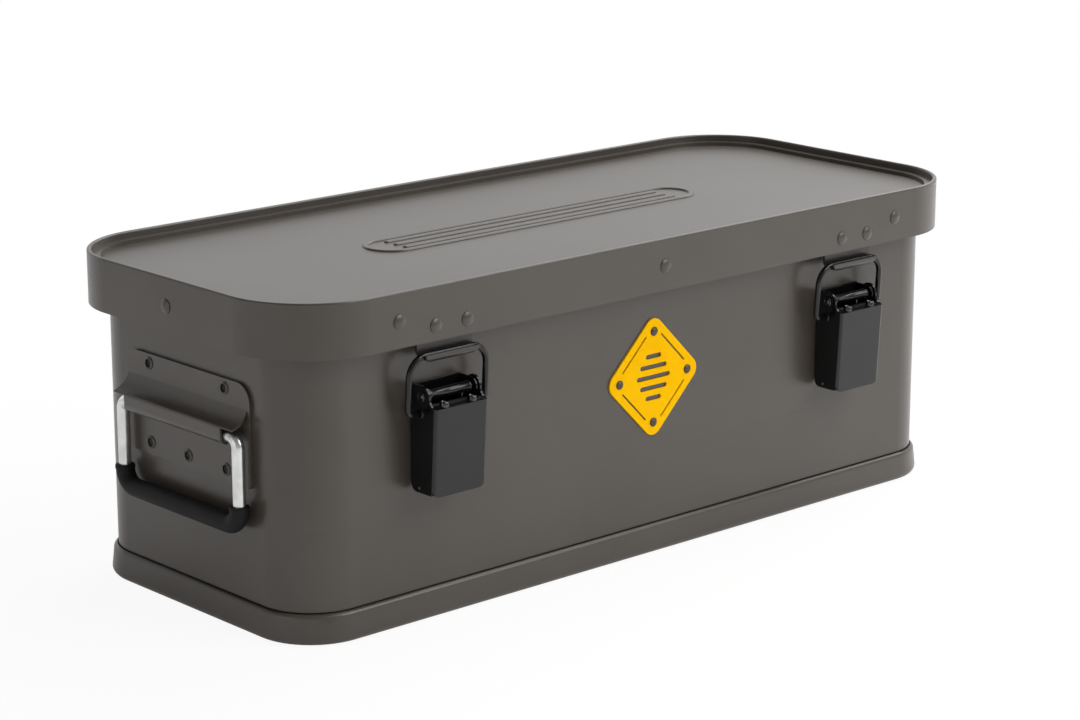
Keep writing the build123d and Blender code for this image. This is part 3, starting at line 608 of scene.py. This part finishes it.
@dataclass
class RivetSet:
    """All rivets of one CAD node, with turned heads."""

    shop: Workshop
    node: str
    head: Head
    radius: float
    height: float
    slot: str
    head_finish: bpy.types.Material
    # A hollow head's hole, and how far every head goes into the sheet, drawn in by the tuck.
    hole: float = 2.2
    sink: float = 0.3
    tuck: float = 0.2
    # The share of the height that the crown leaves to its rim, and a hollow head's lip.
    rim_share: float = 0.25
    lip_width: float = 0.3
    lip_drop: float = 0.25
    hole_slack: float = 0.05
    crown_steps: int = 7
    ring_steps: int = 5

    def profile(self) -> Outline:
        """Draw half the outline of a head.

        Returns:
            Its points, from the top pole to the bottom pole.
        """
        rise = self.height * (1 - self.rim_share)
        ball = rise + (self.radius**2 - rise**2) / (2 * rise)
        centre = (0, self.height - ball)
        lowest = math.degrees(math.acos(self.radius / ball))
        under = [(self.radius, 0), (self.radius - self.tuck, -self.sink), (0, -self.sink)]
        if self.head is Head.DOMED:
            return [*arc(centre, ball, 90, lowest, self.crown_steps), *under]
        start = math.degrees(math.acos((self.hole + self.lip_width) / ball))
        crown = arc(centre, ball, start, lowest, self.ring_steps)
        well = [(0, self.sink), (self.hole, self.sink), (self.hole, crown[0][1] - self.lip_drop)]
        return [*well, *crown, *under]

    def places(self) -> list[Matrix]:
        """Find where each head sits, from the islands of the CAD node.

        Returns:
            The places, in a fixed order.
        """
        made = bmesh.new()
        made.from_mesh(self.shop.node(self.node).data)
        bmesh.ops.remove_doubles(made, verts=made.verts, dist=MERGE)
        left, found = set(made.verts), []
        while left:
            island, edge = set(), {left.pop()}
            while edge:
                island |= edge
                edge = {e.other_vert(v) for v in edge for e in v.link_edges} - island
            left -= island
            found.append(self.seat([v.co.copy() for v in island]))
        made.free()
        return sorted(found, key=lambda m: tuple(round(c, 4) for c in m.translation))

    def seat(self, corners: list[Vector]) -> Matrix:
        """The place under one rivet's head.

        Args:
            corners: Its vertices.

        Returns:
            A place on the sheet, with Z outward.
        """
        low = Vector([min(c[i] for c in corners) for i in range(3)])
        high = Vector([max(c[i] for c in corners) for i in range(3)])
        middle, size = (low + high) / 2, high - low
        along = min(range(3), key=lambda i: size[i])
        sign = math.copysign(1.0, middle[along])
        point = middle.copy()
        point[along] += sign * (size[along] / 2 - self.height * MM)
        outward = Vector((0, 0, 0))
        outward[along] = sign
        return facing(point, outward)

    def build(self) -> None:
        """Turn every head and show them in place of the node."""
        made = bmesh.new()
        for place in self.places():
            turned(made, self.profile(), place)
            # The inside of a hollow head's hole gets the blackened steel as painted shade, for the shade
            # deep inside the hole.
            if self.head is Head.HOLLOW:
                inverse = place.inverted()
                for face in made.faces:
                    local = inverse @ face.calc_center_median()
                    if local.length < (self.hole + self.hole_slack) * MM and local.z > 0:
                        face.material_index = 1
        finishes = [self.head_finish, self.shop.finishes.black_steel]
        piece = finish_piece(f"{self.node}_heads", made, finishes, self.shop.body(self.node))
        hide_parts(self.node)


# ---------------------------------------------------------------- sub-assemblies


@dataclass
class Lining:
    """The soft fibre blanket round the inside of the wall, sewn along its top hem."""

    shop: Workshop
    node: str = "liner_wall"
    thickness: float = 8.0
    roll: Rounding = Rounding(2.2, 3, 60.0)
    # The ripple of its face, on cells of this size.
    cell_mm: float = 10.0
    ripple_mm: float = 0.9
    wave_mm: float = 48.0
    # The face is where a normal looks into the box by more than the one, and up or down by less
    # than the other.
    looks_in: float = 0.5
    looks_up: float = 0.3
    # The hem's seam below the top edge, and its stitches.
    hem_drop: float = 13.0
    hem_width: float = 3.0
    hem_depth: float = 1.0
    stitch_pitch: float = 8.0
    stitch_half: float = 2.6
    stitch_radius: float = 0.55
    stitch_steps: int = 6
    corner_clear: float = 34.0

    def recess(self, place: Vector, hem: float) -> float:
        """How far the blanket's face sinks at a point, in metres.

        Args:
            place: The point.
            hem: Height of the hem's seam.

        Returns:
            The depth.
        """
        ripple = self.ripple_mm * (0.5 + 0.5 * noise.noise(place / (self.wave_mm * MM)))
        seam = max(0.0, 1 - abs(place.z - hem) / (self.hem_width * MM))
        return (ripple + self.hem_depth * seam) * MM

    def cut(self, made: bmesh.types.BMesh, axis: int, at: float) -> None:
        """Cut the mesh across one axis, so that it can bend there.

        Args:
            made: The mesh.
            axis: 0, 1 or 2 for X, Y or Z.
            at: Where on that axis, in metres.
        """
        normal = Vector((0, 0, 0))
        normal[axis] = 1
        everything = [*made.verts, *made.edges, *made.faces]
        bmesh.ops.bisect_plane(made, geom=everything, plane_co=normal * at, plane_no=normal)

    def build(self) -> None:
        """Roll the edges, soften the faces and sew the hem."""
        low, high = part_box(self.node)
        hem = high.z - self.hem_drop * MM
        made = merged_copy(self.shop.node(self.node))
        self.roll.apply(made)
        for axis in range(3):
            count = round((high[axis] - low[axis]) / MM / self.cell_mm)
            for i in range(1, count):
                self.cut(made, axis, low[axis] + (high[axis] - low[axis]) * i / count)
        for step in (-1, 0, 1):
            self.cut(made, 2, hem + step * self.hem_width * MM)
        made.normal_update()
        for vert in made.verts:
            inward = -(vert.normal.x * vert.co.x / high.x + vert.normal.y * vert.co.y / high.y)
            if inward > self.looks_in and abs(vert.normal.z) < self.looks_up:
                vert.co -= vert.normal * self.recess(vert.co, hem)
        blanket = self.shop.finishes.blanket
        piece = finish_piece("lining_blanket", made, [blanket], self.shop.body(self.node), SOFT_SHARP)
        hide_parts(self.node)
        self.sew(high, hem)

    def sew(self, high: Vector, hem: float) -> None:
        """Sew a row of stitches along the four straight runs of the hem.

        Args:
            high: Upper corner of the blanket.
            hem: Height of the seam.
        """
        made = bmesh.new()
        ball = [
            *arc((0, self.stitch_half), self.stitch_radius, 90, 0, 2),
            *arc((0, -self.stitch_half), self.stitch_radius, 0, -90, 2),
        ]
        for along, across in ((0, 1), (1, 0)):
            run = high[along] / MM - self.corner_clear
            depth = high[across] - (self.thickness - self.hem_depth) * MM
            count = int(2 * run / self.stitch_pitch)
            way = Vector((0, 0, 0))
            way[along] = 1
            for side in (-1, 1):
                for i in range(count + 1):
                    point = Vector((0, 0, hem))
                    point[along] = (-run + 2 * run * i / count) * MM
                    point[across] = side * depth
                    turned(made, ball, facing(point, way), self.stitch_steps)
        thread = self.shop.finishes.thread
        piece = finish_piece("hem_stitches", made, [thread], self.shop.body(self.node), SOFT_SHARP)


@dataclass
class Box:
    """The standing box: pan, wall, rim and fire lining."""

    shop: Workshop
    corner_r: float = 38.0
    # The crease's middle height, the stretch of wall that holds it, and how deep its floor may lie.
    crease_z: float = 70.0
    crease_reach: float = 10.0
    crease_depths: tuple[float, float] = (0.2, 0.6)
    # How far its floor is lifted, and the share of its height that the floor keeps.
    crease_lift: float = 0.25
    crease_share: float = 0.2
    # The groove between pan and wall: its width, and the drops below the pan's lip between which it lies.
    joint_width: float = 0.6
    joint_drops: tuple[float, float] = (0.3, 2.2)
    # The black bead's rise from the groove's floor, which is where a normal looks up by this much.
    bead_rise: float = 2.45
    bead_level: float = 0.9
    rim_edge: Rounding = Rounding(0.5, 3)

    def build(self) -> None:
        """Show the wall, pan, rim and lining."""
        finishes = self.shop.finishes
        self.wall()
        self.pan()
        self.shop.press("body_rim", "rim_channel", finishes.mill, "bare_aluminium", self.rim_edge)
        self.shop.dress(finishes.board, "liner_floor")
        Lining(self.shop).build()

    def outward(self, place: Vector, high: Vector) -> tuple[Vector, float]:
        """Measure a place by the wall from the wall's outer face.

        Args:
            place: The place.
            high: Upper corner of the wall.

        Returns:
            The way outward, and how far past the outer face the place is, in mm.
        """
        radius = self.corner_r * MM
        past = Vector((max(abs(place.x) - high.x + radius, 0), max(abs(place.y) - high.y + radius, 0), 0))
        out = (past.length - radius) / MM
        past.x, past.y = math.copysign(past.x, place.x), math.copysign(past.y, place.y)
        return past.normalized(), out

    def wall(self) -> None:
        """Show the wall with its crease eased to a shallow valley, as a press leaves it."""
        node, powder = "body_shell", self.shop.finishes.powder
        made = merged_copy(self.shop.node(node))
        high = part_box(node)[1]
        least, most = self.crease_depths
        for vert in made.verts:
            way, out = self.outward(vert.co, high)
            above = vert.co.z / MM - self.crease_z
            if abs(above) < self.crease_reach and least < -out < most:
                vert.co += way * self.crease_lift * MM
                vert.co.z = (self.crease_z + above * self.crease_share) * MM
        made.normal_update()
        self.shop.stand_in(node, "body_wall", powder, "powder_coat", made)

    def pan(self) -> None:
        """Show the pan with the floor and sides of its groove in matt black."""
        finishes, node = self.shop.finishes, "base_pan"
        high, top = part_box("body_shell")[1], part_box(node)[1].z
        made = merged_copy(self.shop.node(node))
        least, most = self.joint_drops
        for face in made.faces:
            place = face.calc_center_median()
            out = self.outward(place, high)[1]
            near = abs(out - self.joint_width / 2) < self.joint_width
            face.material_index = int(near and least < (top - place.z) / MM < most)
        self.bead(made)
        coats = [finishes.powder, finishes.sealant]
        piece = finish_piece("pan_pressing", made, coats, self.shop.body(node), PRESSED_SHARP)
        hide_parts(node)

    def bead(self, pan: bmesh.types.BMesh) -> None:
        """Raise a matt black bead from the floor of the pan's groove to just past its lip.

        Args:
            pan: The pan, with its groove's faces already picked by material.
        """
        made = pan.copy()
        others = [f for f in made.faces if f.material_index == 0 or f.normal.z < self.bead_level]
        bmesh.ops.delete(made, geom=others, context="FACES")
        floor = list(made.faces)
        grown = bmesh.ops.extrude_face_region(made, geom=floor, use_keep_orig=True)["geom"]
        raised = [v for v in grown if isinstance(v, bmesh.types.BMVert)]
        bmesh.ops.translate(made, verts=raised, vec=(0, 0, self.bead_rise * MM))
        bmesh.ops.recalc_face_normals(made, faces=made.faces)
        for face in made.faces:
            face.material_index = 0
        sealant = self.shop.finishes.sealant
        piece = finish_piece("pan_sealant_bead", made, [sealant], self.shop.body("base_pan"))


@dataclass
class Lid:
    """The framed lid with its lining, seal, rivets and catches."""

    shop: Workshop
    band_edge: Rounding = Rounding(0.35)
    panel_edge: Rounding = Rounding(0.3)
    catch_edge: Rounding = Rounding(0.55, 3)
    rivet_radius: float = 4.6
    rivet_height: float = 1.7

    def build(self) -> None:
        """Dress the lid and turn its rivets."""
        shop, finishes, slot = self.shop, self.shop.finishes, "powder_coat"
        shop.press("lid_band", "lid_wall", finishes.powder, slot, self.band_edge)
        shop.press("lid_panel", "lid_sheet", finishes.powder, slot, self.panel_edge)
        shop.dress(finishes.mill, "lid_frame")
        shop.dress(finishes.board, "lid_liner")
        shop.dress(finishes.silicone, "lid_seal")
        size = (self.rivet_radius, self.rivet_height)
        for node in ("lid_rivets", *[f"catch_rivets_{side.label}" for side in Side]):
            RivetSet(shop, node, Head.DOMED, *size, slot, finishes.powder).build()
        for side in Side:
            name = side.label
            # The catches get the darker powder as painted shade, for the band's shadow on them.
            shop.press(f"catch_{name}", f"catch_hook_{name}", finishes.umber, slot, self.catch_edge)


@dataclass
class Latch:
    """One draw latch: base, axle, lever and wire bail."""

    shop: Workshop
    side: Side
    plate_edge: Rounding = Rounding(0.35)
    lever_edge: Rounding = Rounding(0.5, 3)
    # The axle's barrel, short of the axle's ends, with a raised collar at each of its own.
    barrel_r: float = 3.6
    barrel_inset: float = 5.5
    chamfer: float = 0.5
    collar_width: float = 2.0
    collar_slope: float = 0.4
    collar_step: float = 0.35
    # The pin through it, and the peened heads outside its ends.
    pin_r: float = 2.0
    head_r: float = 3.3
    head_height: float = 1.3
    head_inset: float = 1.0
    # Places on the lever, from the axle's middle: out to the side, back and up.
    stud_place: tuple[float, float, float] = (11.0, -9.3, -5.3)
    eyelet_place: tuple[float, float, float] = (21.0, 1.7, -10.8)
    pip_place: tuple[float, float, float] = (21.0, 3.5, -58.0)
    pip_steps: int = 16

    def build(self) -> None:
        """Press the sheet parts and turn the round ones."""
        shop, enamel, name, slot = self.shop, self.shop.finishes.enamel, self.side.label, "latch_enamel"
        shop.press(f"latch_base_{name}", f"latch_plate_{name}", enamel, slot, self.plate_edge)
        shop.press(f"latch_lever_{name}", f"lever_pressing_{name}", enamel, slot, self.lever_edge)
        shop.dress(enamel, f"latch_bail_{name}", f"latch_rivets_{name}")
        self.axle()
        self.studs()

    def axle(self) -> None:
        """Turn the axle's barrel and its two peened heads."""
        low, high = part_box(f"latch_axle_{self.side.label}")
        middle = (low + high) / 2
        half = (high.x - low.x) / 2 / MM
        made = bmesh.new()
        waist = half - self.barrel_inset
        upper = [
            (0, waist),
            (self.barrel_r - self.chamfer, waist),
            (self.barrel_r, waist - self.chamfer),
            (self.barrel_r, waist - self.collar_width),
            (self.barrel_r - self.collar_step, waist - self.collar_width - self.collar_slope),
        ]
        barrel = [*[(r, -h) for r, h in upper], *reversed(upper)]
        turned(made, barrel, facing(middle, Vector((1, 0, 0))))
        seat_at = half - self.head_inset
        pin = [(0, -seat_at), (self.pin_r, -seat_at), (self.pin_r, seat_at), (0, seat_at)]
        turned(made, pin, facing(middle, Vector((1, 0, 0))))
        peened = [
            (0, self.head_height),
            (0.8, self.head_height - 0.05),
            (1.5, self.head_height - 0.3),
            (1.9, self.head_height - 0.75),
            (2.2, self.head_height - 0.8),
            (2.6, self.head_height - 0.45),
            (3.0, self.head_height - 0.5),
            (self.head_r, self.head_height * 0.3),
            (self.head_r, 0),
            (0, 0),
        ]
        heads = bmesh.new()
        for end in (-1, 1):
            seat = Vector((middle.x + end * seat_at * MM, middle.y, middle.z))
            turned(heads, peened, facing(seat, Vector((end, 0, 0))))
        node = f"latch_axle_{self.side.label}"
        self.show(made, "barrel", node, self.shop.finishes.enamel, True)
        self.show(heads, "axle_heads", node, self.shop.finishes.burnished)

    def studs(self) -> None:
        """Turn the shelf's ring studs, the bail's eyelets and the pip low on each flange."""
        low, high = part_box(f"latch_axle_{self.side.label}")
        axle = (low + high) / 2
        ring = [
            (0, 2.5),
            (0.6, 2.4),
            (0.9, 1.9),
            (1.3, 1.7),
            (1.7, 2.1),
            (2.1, 2.4),
            (2.6, 2.2),
            (2.9, 1.6),
            (2.9, -0.8),
            (0, -0.8),
        ]
        eyelet = [(2.15, 0), (2.15, 0.5), (2.5, 0.8), (3.0, 0.75), (3.4, 0.35), (3.45, 0), (2.15, 0)]
        pip = [(0, 0.6), (0.5, 0.55), (0.9, 0.35), (1.3, 0.05), (1.4, -0.2), (0, -0.2)]
        bright, dark = bmesh.new(), bmesh.new()
        for end in (-1, 1):
            side = Vector((end, 0, 0))
            turned(bright, ring, facing(self.spot(axle, self.stud_place, end), Vector((0, 0, 1))))
            turned(dark, eyelet, facing(self.spot(axle, self.eyelet_place, end), side))
            turned(bright, pip, facing(self.spot(axle, self.pip_place, end), side), self.pip_steps)
        lever = f"latch_lever_{self.side.label}"
        self.show(bright, "studs", lever, self.shop.finishes.burnished)
        self.show(dark, "eyelets", lever, self.shop.finishes.enamel)

    def spot(self, axle: Vector, away: tuple[float, float, float], end: int) -> Vector:
        """A point near the axle, on one end of the latch.

        Args:
            axle: Middle of the axle.
            away: Millimetres from it, with the first toward the end.
            end: -1 or 1.

        Returns:
            The point.
        """
        return axle + Vector((end * away[0], away[1], away[2])) * MM

    def show(
        self,
        made: bmesh.types.BMesh,
        kind: str,
        node: str,
        material: bpy.types.Material,
        replaces: bool = False,
    ) -> None:
        """Show one turned set.

        Args:
            made: The mesh.
            kind: What it is.
            node: The CAD node that it belongs to.
            material: Its finish.
            replaces: Whether it stands for the node.
        """
        piece = finish_piece(f"latch_{kind}_{self.side.label}", made, [material], self.shop.body(node))
        if replaces:
            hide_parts(node)


@dataclass
class Handle:
    """One drop handle: hooded plate, wire loop and rubber grip."""

    shop: Workshop
    side: Side
    plate_edge: Rounding = Rounding(0.45, 3)
    rivet_radius: float = 4.0
    rivet_height: float = 1.8
    rivet_hole: float = 2.7
    collar_depth: float = 1.8
    collar_lip: float = 0.05

    def build(self) -> None:
        """Press the plate, dress the wire and turn the rivets."""
        finishes, name, slot = self.shop.finishes, self.side.label, "powder_coat"
        plate, hood = f"handle_plate_{name}", f"hood_plate_{name}"
        self.shop.press(plate, hood, finishes.powder, slot, self.plate_edge)
        self.shop.dress(finishes.zinc, f"handle_bail_{name}")
        self.grip()
        node, size = f"handle_rivets_{name}", (self.rivet_radius, self.rivet_height)
        RivetSet(self.shop, node, Head.HOLLOW, *size, slot, finishes.powder, self.rivet_hole).build()

    def grip(self) -> None:
        """Dress the sleeve and turn a moulded collar on each of its two ends."""
        node, finishes = f"handle_grip_{self.side.label}", self.shop.finishes
        self.shop.dress(finishes.rubber, node)
        low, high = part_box(node)
        middle = (low.x + high.x) / 2
        radius = (high.x - low.x) / 2 / MM
        inside = radius - self.collar_depth
        collar = [
            (inside, self.collar_lip),
            (radius - 0.3, self.collar_lip),
            (radius + 0.25, -0.35),
            (radius + 0.35, -1.0),
            (radius + 0.3, -2.6),
            (radius - 0.1, -3.2),
            (inside, -3.2),
            (inside, self.collar_lip),
        ]
        made = bmesh.new()
        for y in (low.y + radius * MM, high.y - radius * MM):
            turned(made, collar, facing(Vector((middle, y, high.z)), Vector((0, 0, 1))))
        name, body = f"grip_collars_{self.side.label}", self.shop.body(node)
        piece = finish_piece(name, made, [finishes.rubber], body)


@dataclass
class Hinge:
    """One rear hinge: two leaves, a pin and its rivets."""

    shop: Workshop
    side: Side
    leaf_edge: Rounding = Rounding(0.35)
    rivet_radius: float = 4.6
    rivet_height: float = 1.7

    def build(self) -> None:
        """Press the leaves, turn the rivets and dress the pin."""
        finishes, name = self.shop.finishes, self.side.label
        size = (self.rivet_radius, self.rivet_height)
        for leaf in ("lower", "upper"):
            node, piece = f"hinge_leaf_{leaf}_{name}", f"hinge_{leaf}_pressing_{name}"
            self.shop.press(node, piece, finishes.enamel, "latch_enamel", self.leaf_edge)
            rivets = f"hinge_rivets_{leaf}_{name}"
            RivetSet(self.shop, rivets, Head.DOMED, *size, "dark_rivet", finishes.black_steel).build()
        self.shop.dress(finishes.black_steel, f"hinge_pin_{name}")


@dataclass
class SignPlate:
    """The plain orange plate on the front."""

    shop: Workshop
    edge: Rounding = Rounding(0.2)
    rivet_radius: float = 3.0
    rivet_height: float = 1.7

    def build(self) -> None:
        """Press the plate and turn its rivets."""
        finishes, size = self.shop.finishes, (self.rivet_radius, self.rivet_height)
        self.shop.press("sign_plate", "sign_sheet", finishes.sign, "sign_enamel", self.edge)
        RivetSet(self.shop, "sign_rivets", Head.DOMED, *size, "dark_rivet", finishes.bronzed).build()


# ---------------------------------------------------------------- studio


@dataclass
class Lamp:
    """One soft square lamp."""

    name: str
    place: tuple[float, float, float]
    size: float
    watts: float
    aim: tuple[float, float, float] = (0.0, 0.0, 0.1)

    def hang(self) -> None:
        """Hang the lamp, aimed at its point."""
        data = bpy.data.lights.new(self.name, "AREA")
        data.energy = self.watts
        data.size = self.size
        lamp = bpy.data.objects.new(self.name, data)
        lamp.location = self.place
        lamp.rotation_euler = (Vector(self.aim) - Vector(self.place)).to_track_quat("-Z", "Y").to_euler()
        bpy.context.scene.collection.objects.link(lamp)


@dataclass
class Studio:
    """Camera, pale floor, soft lamps and a white backdrop."""

    lens_mm: float = 99.93
    sensor_mm: float = 36.0
    clip_end: float = 50.0
    camera_place: tuple[float, float, float] = (-1.31134, -1.45568, 0.62775)
    camera_back: tuple[float, float, float] = (-0.648367, -0.717144, 0.255585)
    # The floor: its look, its own faint light, and how far from the box it turns white for the camera.
    floor_size: float = 12.0
    floor_colour: str = "#F2F2F2"
    floor_roughness: float = 0.9
    table_glow: float = 0.2
    fade_distance: tuple[float, float] = (0.45, 0.95)
    fade_white: tuple[float, float] = (0.9, 1.0)
    # The backdrop in gloss: brightest low down and toward the far corner, dim overhead and behind.
    room_light: float = 0.25
    backdrop: tuple[float, float, float] = (0.67, 0.74, 0.0)
    toward_span: tuple[float, float] = (0.0, 0.5)
    toward_white: tuple[float, float] = (0.12, 1.0)
    height_span: tuple[float, float] = (0.35, 0.6)
    height_white: tuple[float, float] = (1.0, 0.08)
    lamps: list[Lamp] = field(
        default_factory=lambda: [
            Lamp("top_lamp", place=(1.0, 0.1, 1.4), size=1.6, watts=24.5),
            Lamp("front_lamp", place=(0.9, -1.9, 1.7), size=1.7, watts=33.0),
            Lamp("end_lamp", place=(-2.2, 0.0, 0.1), size=1.6, watts=6.0),
        ]
    )

    def camera(self) -> None:
        """Place the camera."""
        data = bpy.data.cameras.new("camera")
        data.lens = self.lens_mm
        data.sensor_width = self.sensor_mm
        data.clip_end = self.clip_end
        camera = bpy.data.objects.new("camera", data)
        camera.location = self.camera_place
        camera.rotation_euler = (-Vector(self.camera_back)).to_track_quat("-Z", "Y").to_euler()
        bpy.context.scene.collection.objects.link(camera)
        bpy.context.scene.camera = camera

    def floor(self) -> None:
        """Lay the pale floor, which lifts to white for the camera and keeps the shadow."""
        made = bmesh.new()
        bmesh.ops.create_grid(made, x_segments=1, y_segments=1, size=self.floor_size)
        mesh = bpy.data.meshes.new("floor")
        made.to_mesh(mesh)
        made.free()
        recipe = Recipe("studio_floor")
        recipe.set(Base_Color=linear(self.floor_colour), Roughness=self.floor_roughness)
        recipe.set(Emission_Color=linear(WHITE), Emission_Strength=self.table_glow)
        rays = add_node(recipe.tree, "ShaderNodeLightPath").outputs
        away = add_node(recipe.tree, "ShaderNodeVectorMath", {"operation": "LENGTH"}, {0: recipe.place})
        lift = remap(recipe.tree, away.outputs["Value"], self.fade_distance, self.fade_white)
        share = combine(recipe.tree, "MULTIPLY", rays["Is Camera Ray"], lift)
        glow = add_node(recipe.tree, "ShaderNodeEmission", {"Color": linear(WHITE), "Strength": 1.0})
        mix = add_node(
            recipe.tree,
            "ShaderNodeMixShader",
            links={0: share, 1: recipe.shader.outputs["BSDF"], 2: glow.outputs["Emission"]},
        )
        recipe.tree.links.new(mix.outputs["Shader"], recipe.out.inputs["Surface"])
        mesh.materials.append(recipe.material)
        plane = bpy.data.objects.new("floor", mesh)
        bpy.context.scene.collection.objects.link(plane)

    def world(self) -> None:
        """A white backdrop, seen by the camera and in gloss, in a dimmer room."""
        world = bpy.data.worlds.new("studio")
        world.use_nodes = True
        tree = world.node_tree
        tree.nodes.clear()
        rays = add_node(tree, "ShaderNodeLightPath").outputs
        way = add_node(tree, "ShaderNodeTexCoord").outputs["Generated"]
        settings = {"operation": "DOT_PRODUCT", 1: self.backdrop}
        toward = add_node(tree, "ShaderNodeVectorMath", settings, {0: way}).outputs["Value"]
        behind = remap(tree, toward, self.toward_span, self.toward_white)
        height = add_node(tree, "ShaderNodeSeparateXYZ", links={0: way}).outputs["Z"]
        below = remap(tree, height, self.height_span, self.height_white)
        gloss = combine(tree, "MULTIPLY", rays["Is Glossy Ray"], combine(tree, "MULTIPLY", below, behind))
        clear = combine(tree, "MAXIMUM", rays["Is Camera Ray"], rays["Is Transmission Ray"])
        dim = add_node(tree, "ShaderNodeBackground", {"Color": linear(WHITE), "Strength": self.room_light})
        white = add_node(tree, "ShaderNodeBackground", {"Color": linear(WHITE), "Strength": 1.0})
        mix = add_node(
            tree,
            "ShaderNodeMixShader",
            links={
                0: combine(tree, "MAXIMUM", gloss, clear),
                1: dim.outputs["Background"],
                2: white.outputs["Background"],
            },
        )
        add_node(tree, "ShaderNodeOutputWorld", links={"Surface": mix.outputs["Shader"]})
        bpy.context.scene.world = world

    def build(self) -> None:
        """Build the whole studio."""
        self.camera()
        self.floor()
        for lamp in self.lamps:
            lamp.hang()
        self.world()
        bpy.context.scene.view_settings.view_transform = "Standard"


def main() -> None:
    """Load the frame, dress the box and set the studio."""
    logging.basicConfig(level=logging.INFO, format="%(message)s")
    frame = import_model()
    shop = Workshop(frame, Finishes())
    Studio().build()
    parts = [Box(shop), Lid(shop), SignPlate(shop)]
    for side in Side:
        parts += [Latch(shop, side), Handle(shop, side), Hinge(shop, side)]
    for part in parts:
        part.build()
        LOG.info("built %s", type(part).__name__)


if __name__ == "__main__":
    main()
